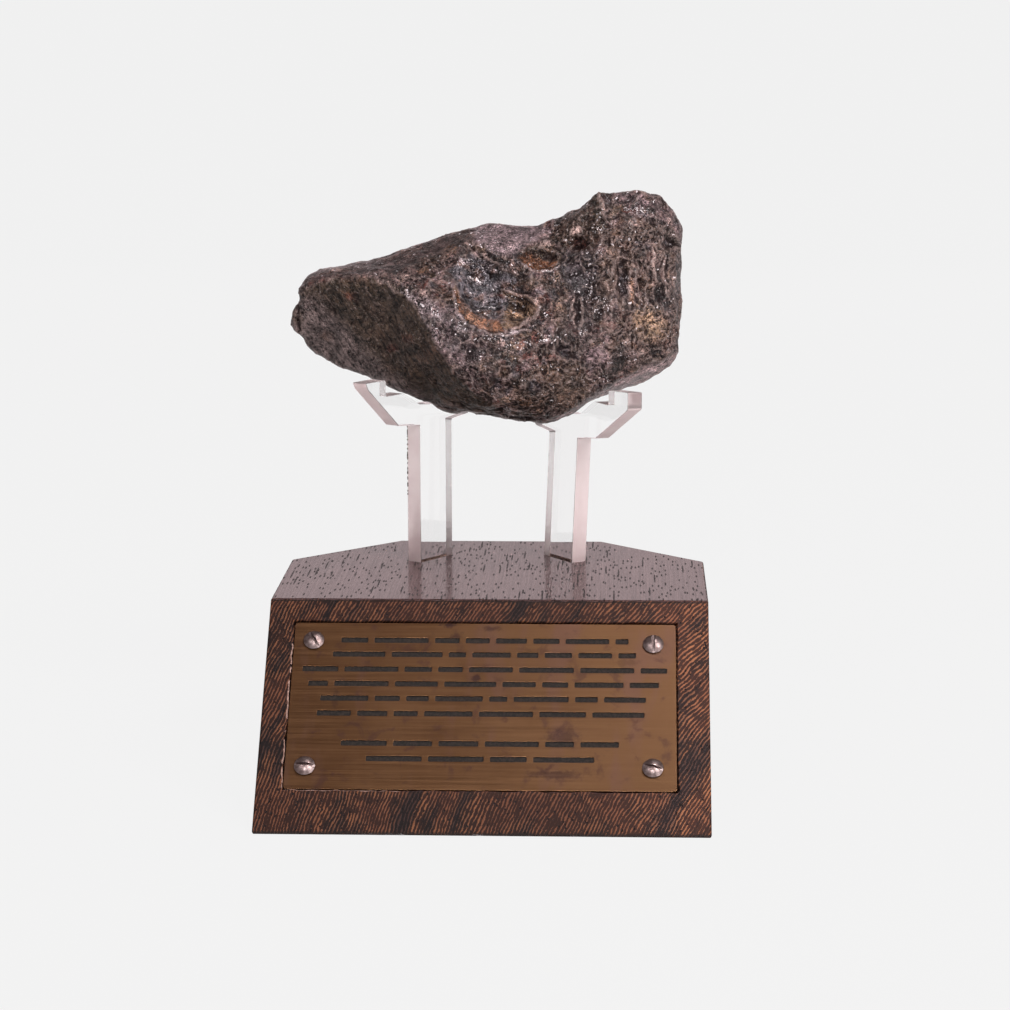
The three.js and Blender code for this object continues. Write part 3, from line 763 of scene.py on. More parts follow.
# Drawn lines of colour, among them painted highlights along lit lips and crests and painted shadow under lips and
# beside the hump's crest: colour, line, half width in pixels, strength
LINES = [
    (PINK_CRUST_AND_HIGHLIGHT, POCKET_RIM, 1.7, 0.75), (GOLD, UPPER_SHELL, 1.3, 0.8), (GOLD, MIDDLE_SHELL, 1.3, 0.7),
    # Painted shadow under the pocket's upper lip, and a painted highlight along the small pit's lower lip
    (GOLD, LOWER_SHELL, 1.3, 0.7), (INK, POCKET_GROOVE, 1.6, 0.85), (PALE_CRUST_AND_HIGHLIGHT, SMALL_PIT_LIP, 1.5, 0.85),
    # The hump's crest: a painted highlight on its right side and painted shade on its left
    (PINK_CRUST_AND_HIGHLIGHT, [(600, 192), (602, 204), (605, 218), (609, 228)], 1.8, 0.6),
    (OLIVE, [(594, 196), (597, 212), (600, 226)], 4.0, 0.9), (PALE_CRUST_AND_HIGHLIGHT, PIT_LEFT_LIP, 1.6, 0.7),
    (PALE_CRUST_AND_HIGHLIGHT, PIT_LOWER_LIP, 1.5, 0.7), (PINK_CRUST_AND_HIGHLIGHT, [(573, 297), (572, 309), (574, 324)], 1.5, 0.7),
    (INK, MIDDLE_GROOVE, 2.2, 0.85), (PALE_CRUST_AND_HIGHLIGHT, MIDDLE_LIP, 1.4, 0.8), (PINK_CRUST_AND_HIGHLIGHT, HUMP_LIP, 1.8, 0.8),
    (PINK_CRUST_AND_HIGHLIGHT, [(652, 248), (652, 265), (655, 281)], 1.7, 0.6), (PINK_CRUST_AND_HIGHLIGHT, RIGHT_CREST, 1.5, 0.5),
    (GOLD, [(640, 298), (636, 318), (640, 336)], 2.0, 0.6), (INK, [(646, 290), (648, 306), (656, 316)], 2.0, 0.6),
    (INK, LOWER_GROOVE, 4.0, 0.8), (PALE_CRUST_AND_HIGHLIGHT, [(400, 291), (411, 299), (421, 311), (431, 329), (443, 348)], 2.6, 0.6),
    (UMBER, [(340, 281), (360, 280), (376, 282)], 2.5, 0.6),
]
# Crests, and grooves where the height is below 0: line, half width in pixels, height in millimetres
CRESTS = [
    ([(301, 294), (318, 283), (333, 278), (374, 278.5), (396, 291), (407, 295.5), (414, 306.5), (423, 317),
    (432, 340), (448, 358), (455, 375), (464, 385), (486, 400)], 5, 0.35),
    ([(328, 297), (346, 319), (356, 337), (372, 356)], 6, 0.25),
    ([(598, 191.5), (599, 200), (601, 211), (607, 222)], 4, 0.6), (POCKET_RIM, 2.6, 0.5),
    (POCKET_GROOVE, 2.2, -0.6), (UPPER_SHELL, 1.7, 0.35), (MIDDLE_SHELL, 1.7, 0.35), (LOWER_SHELL, 1.7, 0.3),
    ([(299, 303), (297, 318), (300, 332)], 2.6, -0.8), ([(612, 240), (613, 262), (611, 284)], 2.4, 0.45),
    ([(640, 262), (641, 284), (645, 304)], 2.6, -0.5), (RIGHT_CREST, 2.4, 0.4),
    ([(648, 300), (640, 318), (644, 336)], 2.4, 0.35), (PIT_LOWER_LIP, 2.4, 0.5),
    ([(455, 258), (464, 256), (475, 253.5), (487, 258), (499, 265)], 2.8, 0.4), (PIT_LEFT_LIP, 2.4, 0.4),
    (SMALL_PIT_LIP, 2.2, 0.45), ([(545, 247), (555, 248), (563, 254)], 3, -0.4), (HUMP_LIP, 2.6, 0.55),
    ([(568, 243), (578, 246), (588, 243)], 4, -0.7), (MIDDLE_LIP, 2, 0.5),
    ([(574.5, 297), (572.5, 309), (574, 324)], 2, 0.5), (MIDDLE_GROOVE, 2.2, -0.7), (LOWER_GROOVE, 4, -0.7),
    ([(618, 246), (622, 275), (620, 303)], 6, -0.5), ([(628, 262), (630, 285), (631, 308)], 3.4, 0.4),
    ([(653, 248), (652, 265), (655, 281)], 2.6, 0.4), ([(612, 206), (621, 212), (630, 218), (641, 221)], 2.6, 0.3),
    ([(606, 226), (617, 226), (628, 232)], 2.6, -0.4), ([(655, 235), (667, 238), (679, 246)], 3.4, -0.5),
    ([(470, 241), (473, 250), (482, 257)], 2.2, -0.6),
    ([(446, 400), (470, 409), (505, 412), (545, 417)], 2.2, -0.5),
    ([(438, 406), (468, 414), (505, 417), (540, 421)], 2, -0.45),
    ([(452, 397), (476, 404), (510, 407)], 1.8, 0.35), ([(520, 394), (526, 402), (536, 408)], 2.2, 0.35),
    ([(536, 345), (548, 352), (556, 350)], 2.2, 0.35), ([(602, 345), (612, 352), (622, 350)], 2.4, -0.35),
    ([(583, 375), (596, 384), (606, 382)], 2, 0.4),
    ([(679, 352), (660, 361), (644, 367), (609, 386), (583.5, 400), (560, 414)], 3, 0.3),
    ([(408, 277), (418, 277.5), (428, 279), (440, 276)], 2.2, 0.4),
    ([(425, 258), (434, 263), (438, 272)], 2, 0.35),
]
# Round hollows with a raised rim: middle, half width and half height in pixels, depth and rim in millimetres
HOLLOWS = [
    ((505, 372), (5.5, 5.5), 0.8, 0.3), ((432, 274.5), (6, 5), 0.9, 0.2), ((302, 313), (2.2, 2.2), 0.9, 0.1),
    ((675, 243.6), (6, 5), 0.7, 0.1), ((534, 388), (9, 8), 0.4, 0.1), ((456, 372), (5, 5), 0.5, 0.1),
    ((540, 301), (4, 4), 0.4, 0.25), ((559, 293), (5, 5), 0.5, 0.2), ((570, 262), (5, 5), 0.5, 0.2),
    ((589, 270), (4, 5), 0.45, 0.2), ((607, 269), (8, 13), 0.35, 0.05), ((640, 245), (9, 6), 0.5, 0.1),
    ((662, 301), (6, 9), 0.5, 0.1), ((640, 330), (3.5, 3), 0.5, 0.25), ((652, 322), (3.5, 3.5), 0.5, 0.25),
    ((661, 336), (4, 3.5), 0.5, 0.25), ((647, 342), (3.5, 3), 0.4, 0.25), ((657, 355), (6, 5), 0.5, 0.1),
    ((588, 326), (5, 6), 0.5, 0.15), ((548, 330), (5, 4), 0.4, 0.2), ((424, 357), (9, 7), 0.3, 0.05),
    ((393, 348), (6, 5), 0.2, 0.1), ((350, 293), (6, 5), 0.25, 0.05), ((417, 268), (7, 4), 0.5, 0.15),
    ((598, 364), (9, 8), 0.25, 0.05), ((619, 244), (4, 4), 0.4, 0.2), ((487, 366), (6, 5), 0.3, 0.1),
]
# Broad hollows: middle, half width and half height in pixels, turn in degrees, depth in millimetres
BOWLS = [
    ((482, 290), (34, 30), 35, 1.5), ((519, 312), (19, 15), -25, 1.7), ((540, 258), (24, 14), 8, 1.1),
    ((428, 266), (24, 10), -12, 0.8), ((580, 243), (14, 9), -5, 0.9), ((623, 278), (9, 34), 0, 0.9),
    ((577, 313), (7, 18), 0, 0.8), ((566, 352), (16, 9), 25, 1.0), ((536, 388), (14, 11), 0, 0.7),
    ((669, 243), (13, 9), 0, 0.8), ((596, 360), (22, 18), 0, 0.5), ((505, 372), (10, 9), 0, 0.5),
    ((588, 300), (9, 26), 10, 0.7), ((657, 355), (10, 7), 0, 0.6), ((606, 232), (8, 20), -10, 0.7),
    ((556, 232), (16, 9), -25, 0.5), ((641, 290), (7, 30), 4, 0.5), ((660, 290), (8, 20), -8, 0.5),
]
# Small corrections of the stone's outline: middle, half width and half height, and the shift, all in pixels
SHIFTS = [
    ((318, 272), (34, 16), (-0.5, -1.2)), ((292, 318), (14, 22), (-1, 0)), ((308, 348), (26, 20), (-2.5, 2.5)),
    ((584, 203), (20, 14), (0.5, 0.5)), ((559, 219), (30, 16), (-1.5, -3)), ((598, 192), (12, 12), (-1, -1.5)),
    ((648, 195), (28, 16), (0, -2)),
    ((677, 220), (18, 26), (1.6, -1)), ((650, 377), (42, 20), (1, 2.2)), ((445, 410), (26, 12), (0, 2)),
    ((508, 419), (26, 12), (0, 2)), ((378, 256), (28, 16), (0, 2.5)), ((683, 265), (14, 28), (-2, 0)),
    ((681, 330), (14, 24), (-2, 0)),
]
# Clusters of painted glints, bright specks painted into the colour, where the crust is also glossier: middle, half
# width and half height in pixels, turn
GLINTS = [
    ((464, 261), (9, 6), 20), ((461, 327), (8, 11), 20), ((408, 294), (8, 5), 40), ((437, 315), (10, 7), 45),
    ((480, 275), (14, 12), 30), ((486, 308), (14, 9), 20), ((546, 271), (14, 3), 0), ((525, 266), (8, 4), 20),
    ((599, 250), (6, 8), 0), ((604, 379), (9, 5), 0), ((628, 343), (6, 5), 0), ((620, 240), (8, 6), 0),
    ((582, 332), (5, 12), 0), ((550, 338), (16, 7), 10), ((586, 285), (16, 20), 0), ((500, 337), (22, 4), 0),
    ((640, 212), (26, 8), 10), ((600, 305), (12, 14), 0), ((455, 300), (3, 10), 0), ((493, 268), (14, 5), 35),
    ((463, 258), (7, 4), 30), ((463, 329), (6, 6), 20), ((520, 345), (30, 8), 5), ((598, 226), (10, 12), 0),
]


# Seeds of the noise that moves places across and down
WOBBLE_SEEDS = ((3, 4, 7), (5, 6, 8))


def wobbled(picture, points, *waves):
    """Places in the picture moved a little by noise, so that what is drawn there gets ragged edges.

    A wave is its height in pixels and its length in millimetres.
    """
    moved = picture.copy()
    for column, seeds in enumerate(WOBBLE_SEEDS):
        for (height, length), seed in zip(waves, seeds):
            moved[:, column] += height * noise(points, length, seed)
    return moved


def stone_relief(points, bent, picture, facing, front):
    """Heights over the stone's smooth form, in millimetres, and the shares of its kinds of surface."""
    place = wobbled(picture, points, (2.4, 5.5), (1.4, 2.0))
    masks = (
        (DARK_FACE, 5), (PIT_METAL, 4), (PIT_RUST, 3), (PLATEAU, 8), (BEVEL, 5), (UPPER_STRIP, 6), (RIGHT_FACE, 12),
    )
    dark, metal, rust, plateau, bevel, strip, right_face = (inside(place, *mask) * front for mask in masks)
    rough = 1 - np.clip(0.55 * dark + 0.62 * plateau + 0.3 * metal + 0.6 * bevel + 0.5 * strip + 0.6 * rust, 0, 0.8)
    rough = rough * (0.35 + 0.65 * smooth(0.0, 0.45, np.abs(facing)))
    wrinkled = smooth(-0.25, 0.45, layered(points, 9, 121, 2))
    broad = 0.55 * layered(points, 11, 21, 2)
    lumps = 0.62 * layered(bent, 4.6, 24, 2, 0.45)
    worms = 0.55 * wrinkled * (creased(bent, 2.9, 31, 2, 0.6) ** 2 - 0.4)
    dimples = -0.45 * np.clip(1 - (nearest_spot(bent, 3.3, 41) / 0.5) ** 2, 0, 1)
    dimples = dimples * smooth(-0.1, 0.5, noise(points, 9, 44))
    fine = 0.115 * noise(bent, 1.0, 51)
    streaks = right_face * 0.30 * creased(bent * np.array((1, 1, 0.3)), 1.9, 61, 2)
    x, y, z = points.T
    scratches = 0
    # depth, X and Z shares of the directions across and along them, stretch, length, seed
    for depth, across, along, stretch, length, seed in (
        (dark * 0.13, (0.84, 0.54), (0.54, -0.84), (1, 0.14, 0.3), 1.6, 71),
        (strip * 0.11, (-0.25, 0.97), (0.97, 0.25), (1, 0.14, 0.4), 1.4, 74),
        (bevel * 0.12, (-0.5, 0.85), (0.85, 0.5), (1, 0.12, 0.4), 1.6, 77),
    ):
        turned = np.stack([x * across[0] + z * across[1], x * along[0] + z * along[1], y], axis=1)
        scratches = scratches + depth * layered(turned * np.array(stretch), length, seed, 2)
    place = wobbled(picture, points, (1.5, 3.0), (0.9, 1.3))
    uneven = np.clip(0.8 + 0.7 * noise(points, 2.4, 9), 0.1, 1.5)
    placed = np.zeros(len(points))
    for line, half, height in CRESTS:
        placed += height * uneven * near_line(place, line, 1.5 * half)
    for middle, half, depth, rim in HOLLOWS:
        away = np.hypot((place[:, 0] - middle[0]) / half[0], (place[:, 1] - middle[1]) / half[1])
        ring, floor = np.exp(-((away - 1.2) ** 2) / 0.08), np.clip(1 - away**2, 0, 1)
        placed += uneven * (0.5 * rim * ring - 0.7 * depth * floor)
    for middle, half, turn, depth in BOWLS:
        placed -= depth * spot(place, middle, half, turn, 1.7)
    relief = broad * (0.5 + 0.5 * rough) + (lumps + worms + dimples + streaks) * rough + fine + scratches
    return relief + placed * front, (dark, metal, rust, plateau, bevel, strip, right_face, rough, wrinkled)


def stone_looks(points, bent, place, front, shares, dip, broad_dip):
    """The colour of each point, and the fields that the material reads."""
    dark, metal, rust, plateau, bevel, strip, right_face, rough, wrinkled = shares
    tint = np.tile(np.array(CRUST), (len(points), 1))

    def paint(colour, weight):
        share = np.clip(weight, 0, 1)[:, None]
        tint[:] = tint * (1 - share) + np.array(colour) * share

    def mottle(colour, strength, low, high, length, seed, layers=3):
        paint(colour, strength * smooth(low, high, layered(bent, length, seed, layers)))

    calm_marks = 0.55 - 0.25 * front
    paint(MAUVE, 0.7 * smooth(0.05, 0.5, layered(points, 8, 91, 3)))
    mottle(UMBER, 0.8, 0.15, 0.6, 6, 94)
    mottle(OCHRE, calm_marks, 0.2, 0.6, 5, 97)
    mottle(GOLD, calm_marks, 0.3, 0.65, 4.5, 101)
    mottle(INK, 0.8, 0.25, 0.6, 5, 104)
    mottle(BLOOD, 0.85, 0.3, 0.6, 3.6, 131, 2)
    mottle(PINK_CRUST_AND_HIGHLIGHT, 0.5, 0.4, 0.65, 3.2, 134, 2)
    tint *= np.clip(1.0 + (0.8 + 0.45 * front) * layered(bent, 5.2, 123, 3, 0.65), 0.3, 1.9)[:, None]
    for outline, edge, colour, strength in AREAS:
        paint(colour, strength * inside(place, outline, edge) * front)
    blotchy = np.clip(1.0 + 1.1 * layered(bent, 2.2, 107, 2), 0.15, 1.4)
    for colour, middle, half, turn, strength in MARKS:
        paint(colour, strength * blotchy * spot(place, middle, half, turn) * front)
    for colour, line, half, strength in LINES:
        paint(colour, strength * blotchy * near_line(place, line, 1.4 * half) * front)
    uneven = np.where(dark > 0.5, 0.5, 0.95) * (1 - 0.3 * np.clip(plateau + bevel, 0, 1)) * (0.5 + 0.5 * front)
    tint *= np.clip(1.0 + uneven * layered(bent, 3.6, 127, 3, 0.7), 0.35, 1.8)[:, None]
    mottle(PALE_CRUST_AND_HIGHLIGHT, 0.6 * metal, 0.1, 0.5, 2.6, 111, 2)
    mottle(RUST, 0.5 * metal, 0.25, 0.6, 3.5, 114, 2)
    mottle(UMBER, 0.6 * rust, 0.15, 0.7, 2.4, 117, 2)
    glint = np.zeros(len(points))
    for middle, half, turn in GLINTS:
        glint = np.maximum(glint, spot(place, middle, half, turn, 1.5) * front)
    floor, pocket = (inside(place, *area) * front for area in ((SMALL_PIT_FLOOR, 4), (POCKET, 3)))
    fields = {
        "calm": 1 - rough,
        "smoothed": np.clip(plateau + strip + bevel, 0, 1),
        "squiggle": np.clip(right_face + 0.5 * (1 - dark) * rough, 0, 1) * (1 - dark),
        "metal": metal,
        "dark": dark,
        "glint": glint,
        # crevice and hollow: how far a point lies below its near and its wider neighbours; the material paints shade
        # where they are high and a highlight on crests, where crevice is below 0
        "crevice": np.clip(dip / 0.06, -1, 1),
        "hollow": np.clip(broad_dip / 0.30, -1, 1) * (1 - 0.8 * np.clip(floor + rust + metal + pocket, 0, 1)),
        "wrinkled": wrinkled,
    }
    return tint, fields


def stone_mesh():
    """The stone's points, triangles, colours and fields."""
    points, triangles = spread_facets()
    points = relaxed(points, edges_of(triangles), ROUNDING_PASSES)
    sink_pits(points)
    points, quads = remeshed(points, triangles)
    points = relaxed(points, edges_of(quads), 1)
    facing = facing_of(points, normals_of(points, quads))
    points, faces = denser(points, quads, facing[quads].max(axis=1) > DENSE_FACING)
    pairs = edges_of(faces)
    points = relaxed(points, pairs, 2)
    picture = to_picture(points)
    scale = (points - CAMERA_PLACE) @ np.array(FORWARD) / FOCAL_PIXELS
    for middle, half, (right, down) in SHIFTS:
        share = scale * spot(picture, middle, half)
        points = points + share[:, None] * (right * np.array(RIGHT) - down * np.array(UP))
    normals = normals_of(points, faces)
    facing = facing_of(points, normals)
    front = smooth(0.0, 0.25, facing)
    picture = to_picture(points)
    bent = points + 1.3 * np.stack([noise(points, 3.6, seed) for seed in (11, 12, 13)], axis=1)
    relief, shares = stone_relief(points, bent, picture, facing, front)
    points = points + relief[:, None] * normals
    normals = normals_of(points, faces)
    dips = [np.sum((relaxed(points, pairs, passes) - points) * normals, axis=1) for passes in (2, 14)]
    place = wobbled(picture, points, (2.2, 5.5), (1.6, 2.0), (0.8, 0.9))
    return points, faces, *stone_looks(points, bent, place, front, shares, *dips)


def stone_material():
    n = Nodes("meteorite_iron")
    where = n.place()
    bend = n.noise(where, 0.45, 2.0, 0.5, output="Color")
    bent = n.vector("ADD", where, n.vector("MULTIPLY", bend, (4.0, 4.0, 4.0)))
    names = ("calm", "squiggle", "metal", "glint", "crevice", "hollow", "dark", "wrinkled", "smoothed")
    calm, squiggle, metal, glint, crevice, hollow, dark, wrinkled, smoothed = map(n.field, names)

    def crest(scale, width):
        return n.span(n.math("ABSOLUTE", n.noise(bent, scale, 0.6, 0.5) - 0.5), 0.0, width, 1.0, 0.0)

    folds, threads, loops = crest(0.34, 0.042), crest(0.75, 0.06), crest(1.25, 0.10)
    patchy = n.span(n.noise(where, 0.17, 3, 0.6), 0.38, 0.62, 0.3, 1.0)
    middling = n.noise(bent, 0.6, 3, 0.6)
    speck = n.noise(where, 1.45, 1.0, 0.5)
    grit = n.noise(where, 2.3, 0.0, 0.5)
    x, y, z = n.split(where)
    lines = n.join(x * 0.84 + z * 0.54, (x * 0.54 - z * 0.84) * 0.16, y)
    brushed = (n.noise(lines, 1.1, 2, 0.6) - 0.5) * dark

    fine = (speck - 0.5) * 2.0 + (grit - 0.5) * 2.0 + (loops - 0.35) * n.span(dark, 0.0, 1.0, 1.25, 0.4)
    light = (middling - 0.5) * 2.8 + 0.84 + fine * patchy * n.span(dark, 0.0, 1.0, 1.15, 0.75) + brushed * 3.0
    light = n.math("MAXIMUM", light, 0.06)
    colour = n.lit(n.field("tint", "Color"), light)
    line = n.math("MAXIMUM", folds, threads) * n.span(speck, 0.40, 0.55) * squiggle * wrinkled
    colour = n.blend(line * 0.42, colour, (0.36, 0.25, 0.20))
    # Painted shade: crevices and hollows are painted near black
    deep = n.math("MINIMUM", n.span(crevice, 0.1, 1.0) + n.span(hollow, 0.1, 0.9) * 0.6, 1.0) * 0.8
    colour = n.blend(deep, colour, (0.012, 0.006, 0.006))
    # Painted highlight: crests are painted pale
    edge = n.span(crevice, -0.15, -0.9) * n.span(calm, 0.2, 0.8, 0.42, 0.12)
    colour = n.blend(edge, colour, (0.33, 0.25, 0.23))
    # Painted glints: small white dots painted into the colour, most of them in the glint clusters
    distance, own = n.dots(bent, 1.1)
    spark = n.span(distance, 0.22, 0.36, 1.0, 0.0) * n.span(glint * 0.85 + own + dark * -0.25, 0.93, 0.98)
    colour = n.blend(spark * 0.85, colour, (0.80, 0.74, 0.76))

    height = (folds * 0.4 + threads * 0.25 + loops * patchy * 0.35) * n.span(wrinkled, 0.0, 1.0, 0.25, 1.0)
    height = (height + middling * 1.7 + speck * 0.8) * n.span(calm, 0.0, 0.8, 1.0, 0.5)
    normal = n.bump(height + grit * 0.45 + brushed * 0.7, 1.0, 0.6)
    coat = glint * 0.4 + n.span(dark + smoothed, 0.0, 1.0, 0.62, 0.3)
    coat = coat * n.span(light, 0.15, 0.9, 0.3, 1.0) * n.span(deep, 0.1, 0.8, 1.0, 0.3)
    return n.surface(
        Base_Color=colour, Roughness=glint * -0.16 + 0.42, Specular_IOR_Level=0.15, Normal=normal,
        Metallic=metal * 0.5 + n.span(calm, 0.0, 0.8, 0.25, 0.1),
        Coat_Weight=n.math("MINIMUM", coat, 1.0), Coat_Roughness=0.11, Coat_Normal=normal,
    )


# Clear supports

SHEET = 4.76
LEG_WIDTH = 14.3
LEG_DEPTH = 8
TOE_IN = math.radians(35)
REAR_SHARE = 0.82
BASE_HEIGHT = 50.8
EDGE_BEVEL = 0.1
FORK_ROUNDING = 0.5
CHIP_SEED = 5
CHIP_COUNT = 19
CHIP_OUTSET = 0.05
CHIP_INSET = 0.12
CHIP_LOOK = 2
LEFT_FORK = {
    "shoulder": 39.6,
    "points": [(16.5, 40.4), (30, 52.2), (30.9, 54), (22.3, 54), (22.2, 49.4), (14.5, 49.4)],
    "saddle": [(10.5, 47.4), (7.5, 45.5), (3, 45)],
    "chips": (39.0, 19.5),
}
RIGHT_FORK = {
    "shoulder": 35.9,
    "points": [(15.8, 36.8), (31, 46.8), (30.7, 51.5), (21.3, 51), (21.6, 46.9), (14.5, 47.1)],
    "saddle": [(8, 42.8), (3, 42.1)],
}
SUPPORTS = [
    ("left_plate", "left_support", -1, (-21.5, 33.9), 0, LEFT_FORK),
    ("right_plate", "right_support", 1, (21.3, 34.5), 3, RIGHT_FORK),
]


def rounded(outline, radius, steps=4):
    """An outline with its corners rounded by up to radius."""
    result = []
    count = len(outline)
    for i in range(count):
        before, here, after = (np.array(outline[k % count], float) for k in (i - 1, i, i + 1))
        back, ahead = before - here, after - here
        reach = min(radius, 0.4 * np.linalg.norm(back), 0.4 * np.linalg.norm(ahead))
        start, end = here + unit(back) * reach, here + unit(ahead) * reach
        for step in range(steps + 1):
            t = step / steps
            result.append((1 - t) ** 2 * start + 2 * t * (1 - t) * here + t**2 * end)
    return result


def fork_outline(fork):
    """The outline, and for each of its points whether the side face after it is in the saddle."""
    half = LEG_WIDTH / 2
    arm = [(half, -LEG_DEPTH), (half, fork["shoulder"]), *fork["points"], *fork["saddle"]]
    rear = [(half + (reach - half) * REAR_SHARE, height) for reach, height in arm]
    front = [(-reach, height) for reach, height in arm][::-1]
    outline = rounded(rear + front, FORK_ROUNDING)
    steps = len(outline) // (2 * len(arm))
    first, last = len(arm) - len(fork["saddle"]), len(arm) + len(fork["saddle"])
    return outline, [first <= i // steps < last for i in range(len(outline))]


def sheet_frame(side, foot, lean=0):
    """Of a support: the middle of its foot at the wood's top, the directions along, up and across the sheet,
    and where the sheet starts and ends across.
    """
    tilt = math.radians(lean)
    along = Vector((-side * math.sin(TOE_IN), math.cos(TOE_IN), 0))
    outward = Vector((side * math.cos(TOE_IN), math.sin(TOE_IN), 0))
    up = Vector((0, 0, 1)) * math.cos(tilt) + outward * math.sin(tilt)
    origin = Vector((*foot, BASE_HEIGHT)) + along * LEG_WIDTH / 2
    return origin, along, up, along.cross(up), (-SHEET, 0) if side < 0 else (0, SHEET)


def add_chips(form, foot, up, heights):
    """Small dirt-filled chips along an upright edge."""
    rng = np.random.default_rng(CHIP_SEED)
    for height in np.linspace(*heights, CHIP_COUNT) + rng.normal(0, 0.3, CHIP_COUNT):
        wide, tall = rng.uniform(0.14, 0.26), rng.uniform(0.2, 0.65)
        size = Matrix.Diagonal((wide * MM, wide * MM, tall * MM, 1))
        place = Matrix.Translation((foot + up * float(height)) * MM) @ size
        made = bmesh.ops.create_icosphere(form, subdivisions=1, radius=1.0, matrix=place)["verts"]
        for vert in made:
            vert.co += Vector(rng.normal(0, 0.03, 3)) * MM
        for face in {face for vert in made for face in vert.link_faces}:
            face.material_index = CHIP_LOOK


def make_plate(name, node, side, foot, lean, fork, looks):
    """looks: of the faces, the edges and the chips."""
    origin, along, up, across, across_range = sheet_frame(side, foot, lean)
    outline, in_saddle = fork_outline(fork)
    form = bmesh.new()
    rings = [[(origin + along * x + up * y + across * depth) * MM for x, y in outline] for depth in across_range]
    joined_loops(form, rings, lambda level, i: 0 if in_saddle[i] else 1)
    turn_outward(form)
    form.normal_update()
    rims = [e for e in form.edges if len({f.material_index for f in e.link_faces}) == 2]
    round_edges(form, rims, EDGE_BEVEL * MM, 2)
    if "chips" in fork:
        corner = origin - along * (LEG_WIDTH / 2 + CHIP_OUTSET) - across * (SHEET - CHIP_INSET)
        add_chips(form, corner, up, fork["chips"])
    stand_for(from_form(name, form, looks), node)


def clear_material():
    n = Nodes("clear_acrylic_faces")
    ripple = n.bump(n.noise(n.place(), 0.08, 2), 0.02, 0.5)
    return n.surface(
        Base_Color=(1.0, 0.995, 0.995), Roughness=0.02, IOR=1.49, Transmission_Weight=1.0, Normal=ripple
    )


def edge_material():
    n = Nodes("clear_acrylic_edges")
    where = n.place()
    saw = n.noise(n.place(3.0, 3.0, 0.22), 1.0, 3, 0.6)
    colour = n.blend(n.span(n.noise(where, 0.12, 3), 0.3, 0.7), (0.86, 0.70, 0.70), (0.95, 0.82, 0.81))
    colour = n.blend(n.span(saw, 0.45, 0.7) * 0.15, colour, (0.78, 0.66, 0.65))
    # Painted light: faces that face down, and the lower parts, let less light through and so show more of their pale
    # colour
    clear = n.span(n.upward(), -0.4, -0.1, 0.4, 0.82) * n.span(n.split(where)[2], 55, 85, 0.75, 1.0)
    return n.surface(
        Base_Color=colour, Roughness=0.35, IOR=1.49, Transmission_Weight=clear, Normal=n.bump(saw, 0.15, 0.1)
    )


# Block, plate and screws, in the frame of the sloped face:
# X to the right, Y up the slope, Z out of the wood, from the block's top front edge.

BASE_WIDTH = 117.5
BASE_DEPTH = 133.35
TOP_FRONT = -BASE_DEPTH / 2 + BASE_HEIGHT
PLAQUE_WIDTH = 101.6
PLAQUE_HEIGHT = 50.8
PLAQUE_THICKNESS = 1.6
PLAQUE_SIDE_SHIFT = -0.8
PLAQUE_DROP = 7.5
RECESS_DEPTH = 2.1
GAP = 0.3
SLOPE_ANGLE = 45
SLOPE = Matrix.Translation((0, TOP_FRONT * MM, BASE_HEIGHT * MM)) @ Matrix.Rotation(math.radians(SLOPE_ANGLE), 4, "X")


def on_plaque(from_left, from_top):
    return PLAQUE_SIDE_SHIFT - PLAQUE_WIDTH / 2 + from_left, -PLAQUE_DROP - from_top


CORNER_CUT = 29.2
SLOT_GAP = 0.12
RIM_STEP = 0.45
RIM_GAPS = (0.25, 0.5, 0.35, 0.3)
RIM_SLANT = 0.35
CHIPPED_LENGTH = 31.0
WORN_EDGE = 0.5
WEAR_STEPS = 70


def block_distances(point):
    """Distances of a point from the planes of the block's eight outer faces, in millimetres."""
    x, y, z = point / MM
    slope = (y - TOP_FRONT + BASE_HEIGHT - z) * math.sqrt(0.5)
    corner = BASE_WIDTH / 2 - CORNER_CUT + BASE_DEPTH / 2
    return np.abs([
        z, z - BASE_HEIGHT, x + BASE_WIDTH / 2, x - BASE_WIDTH / 2, y - BASE_DEPTH / 2, slope,
        (x + y - corner) * math.sqrt(0.5), (y - x - corner) * math.sqrt(0.5),
    ])


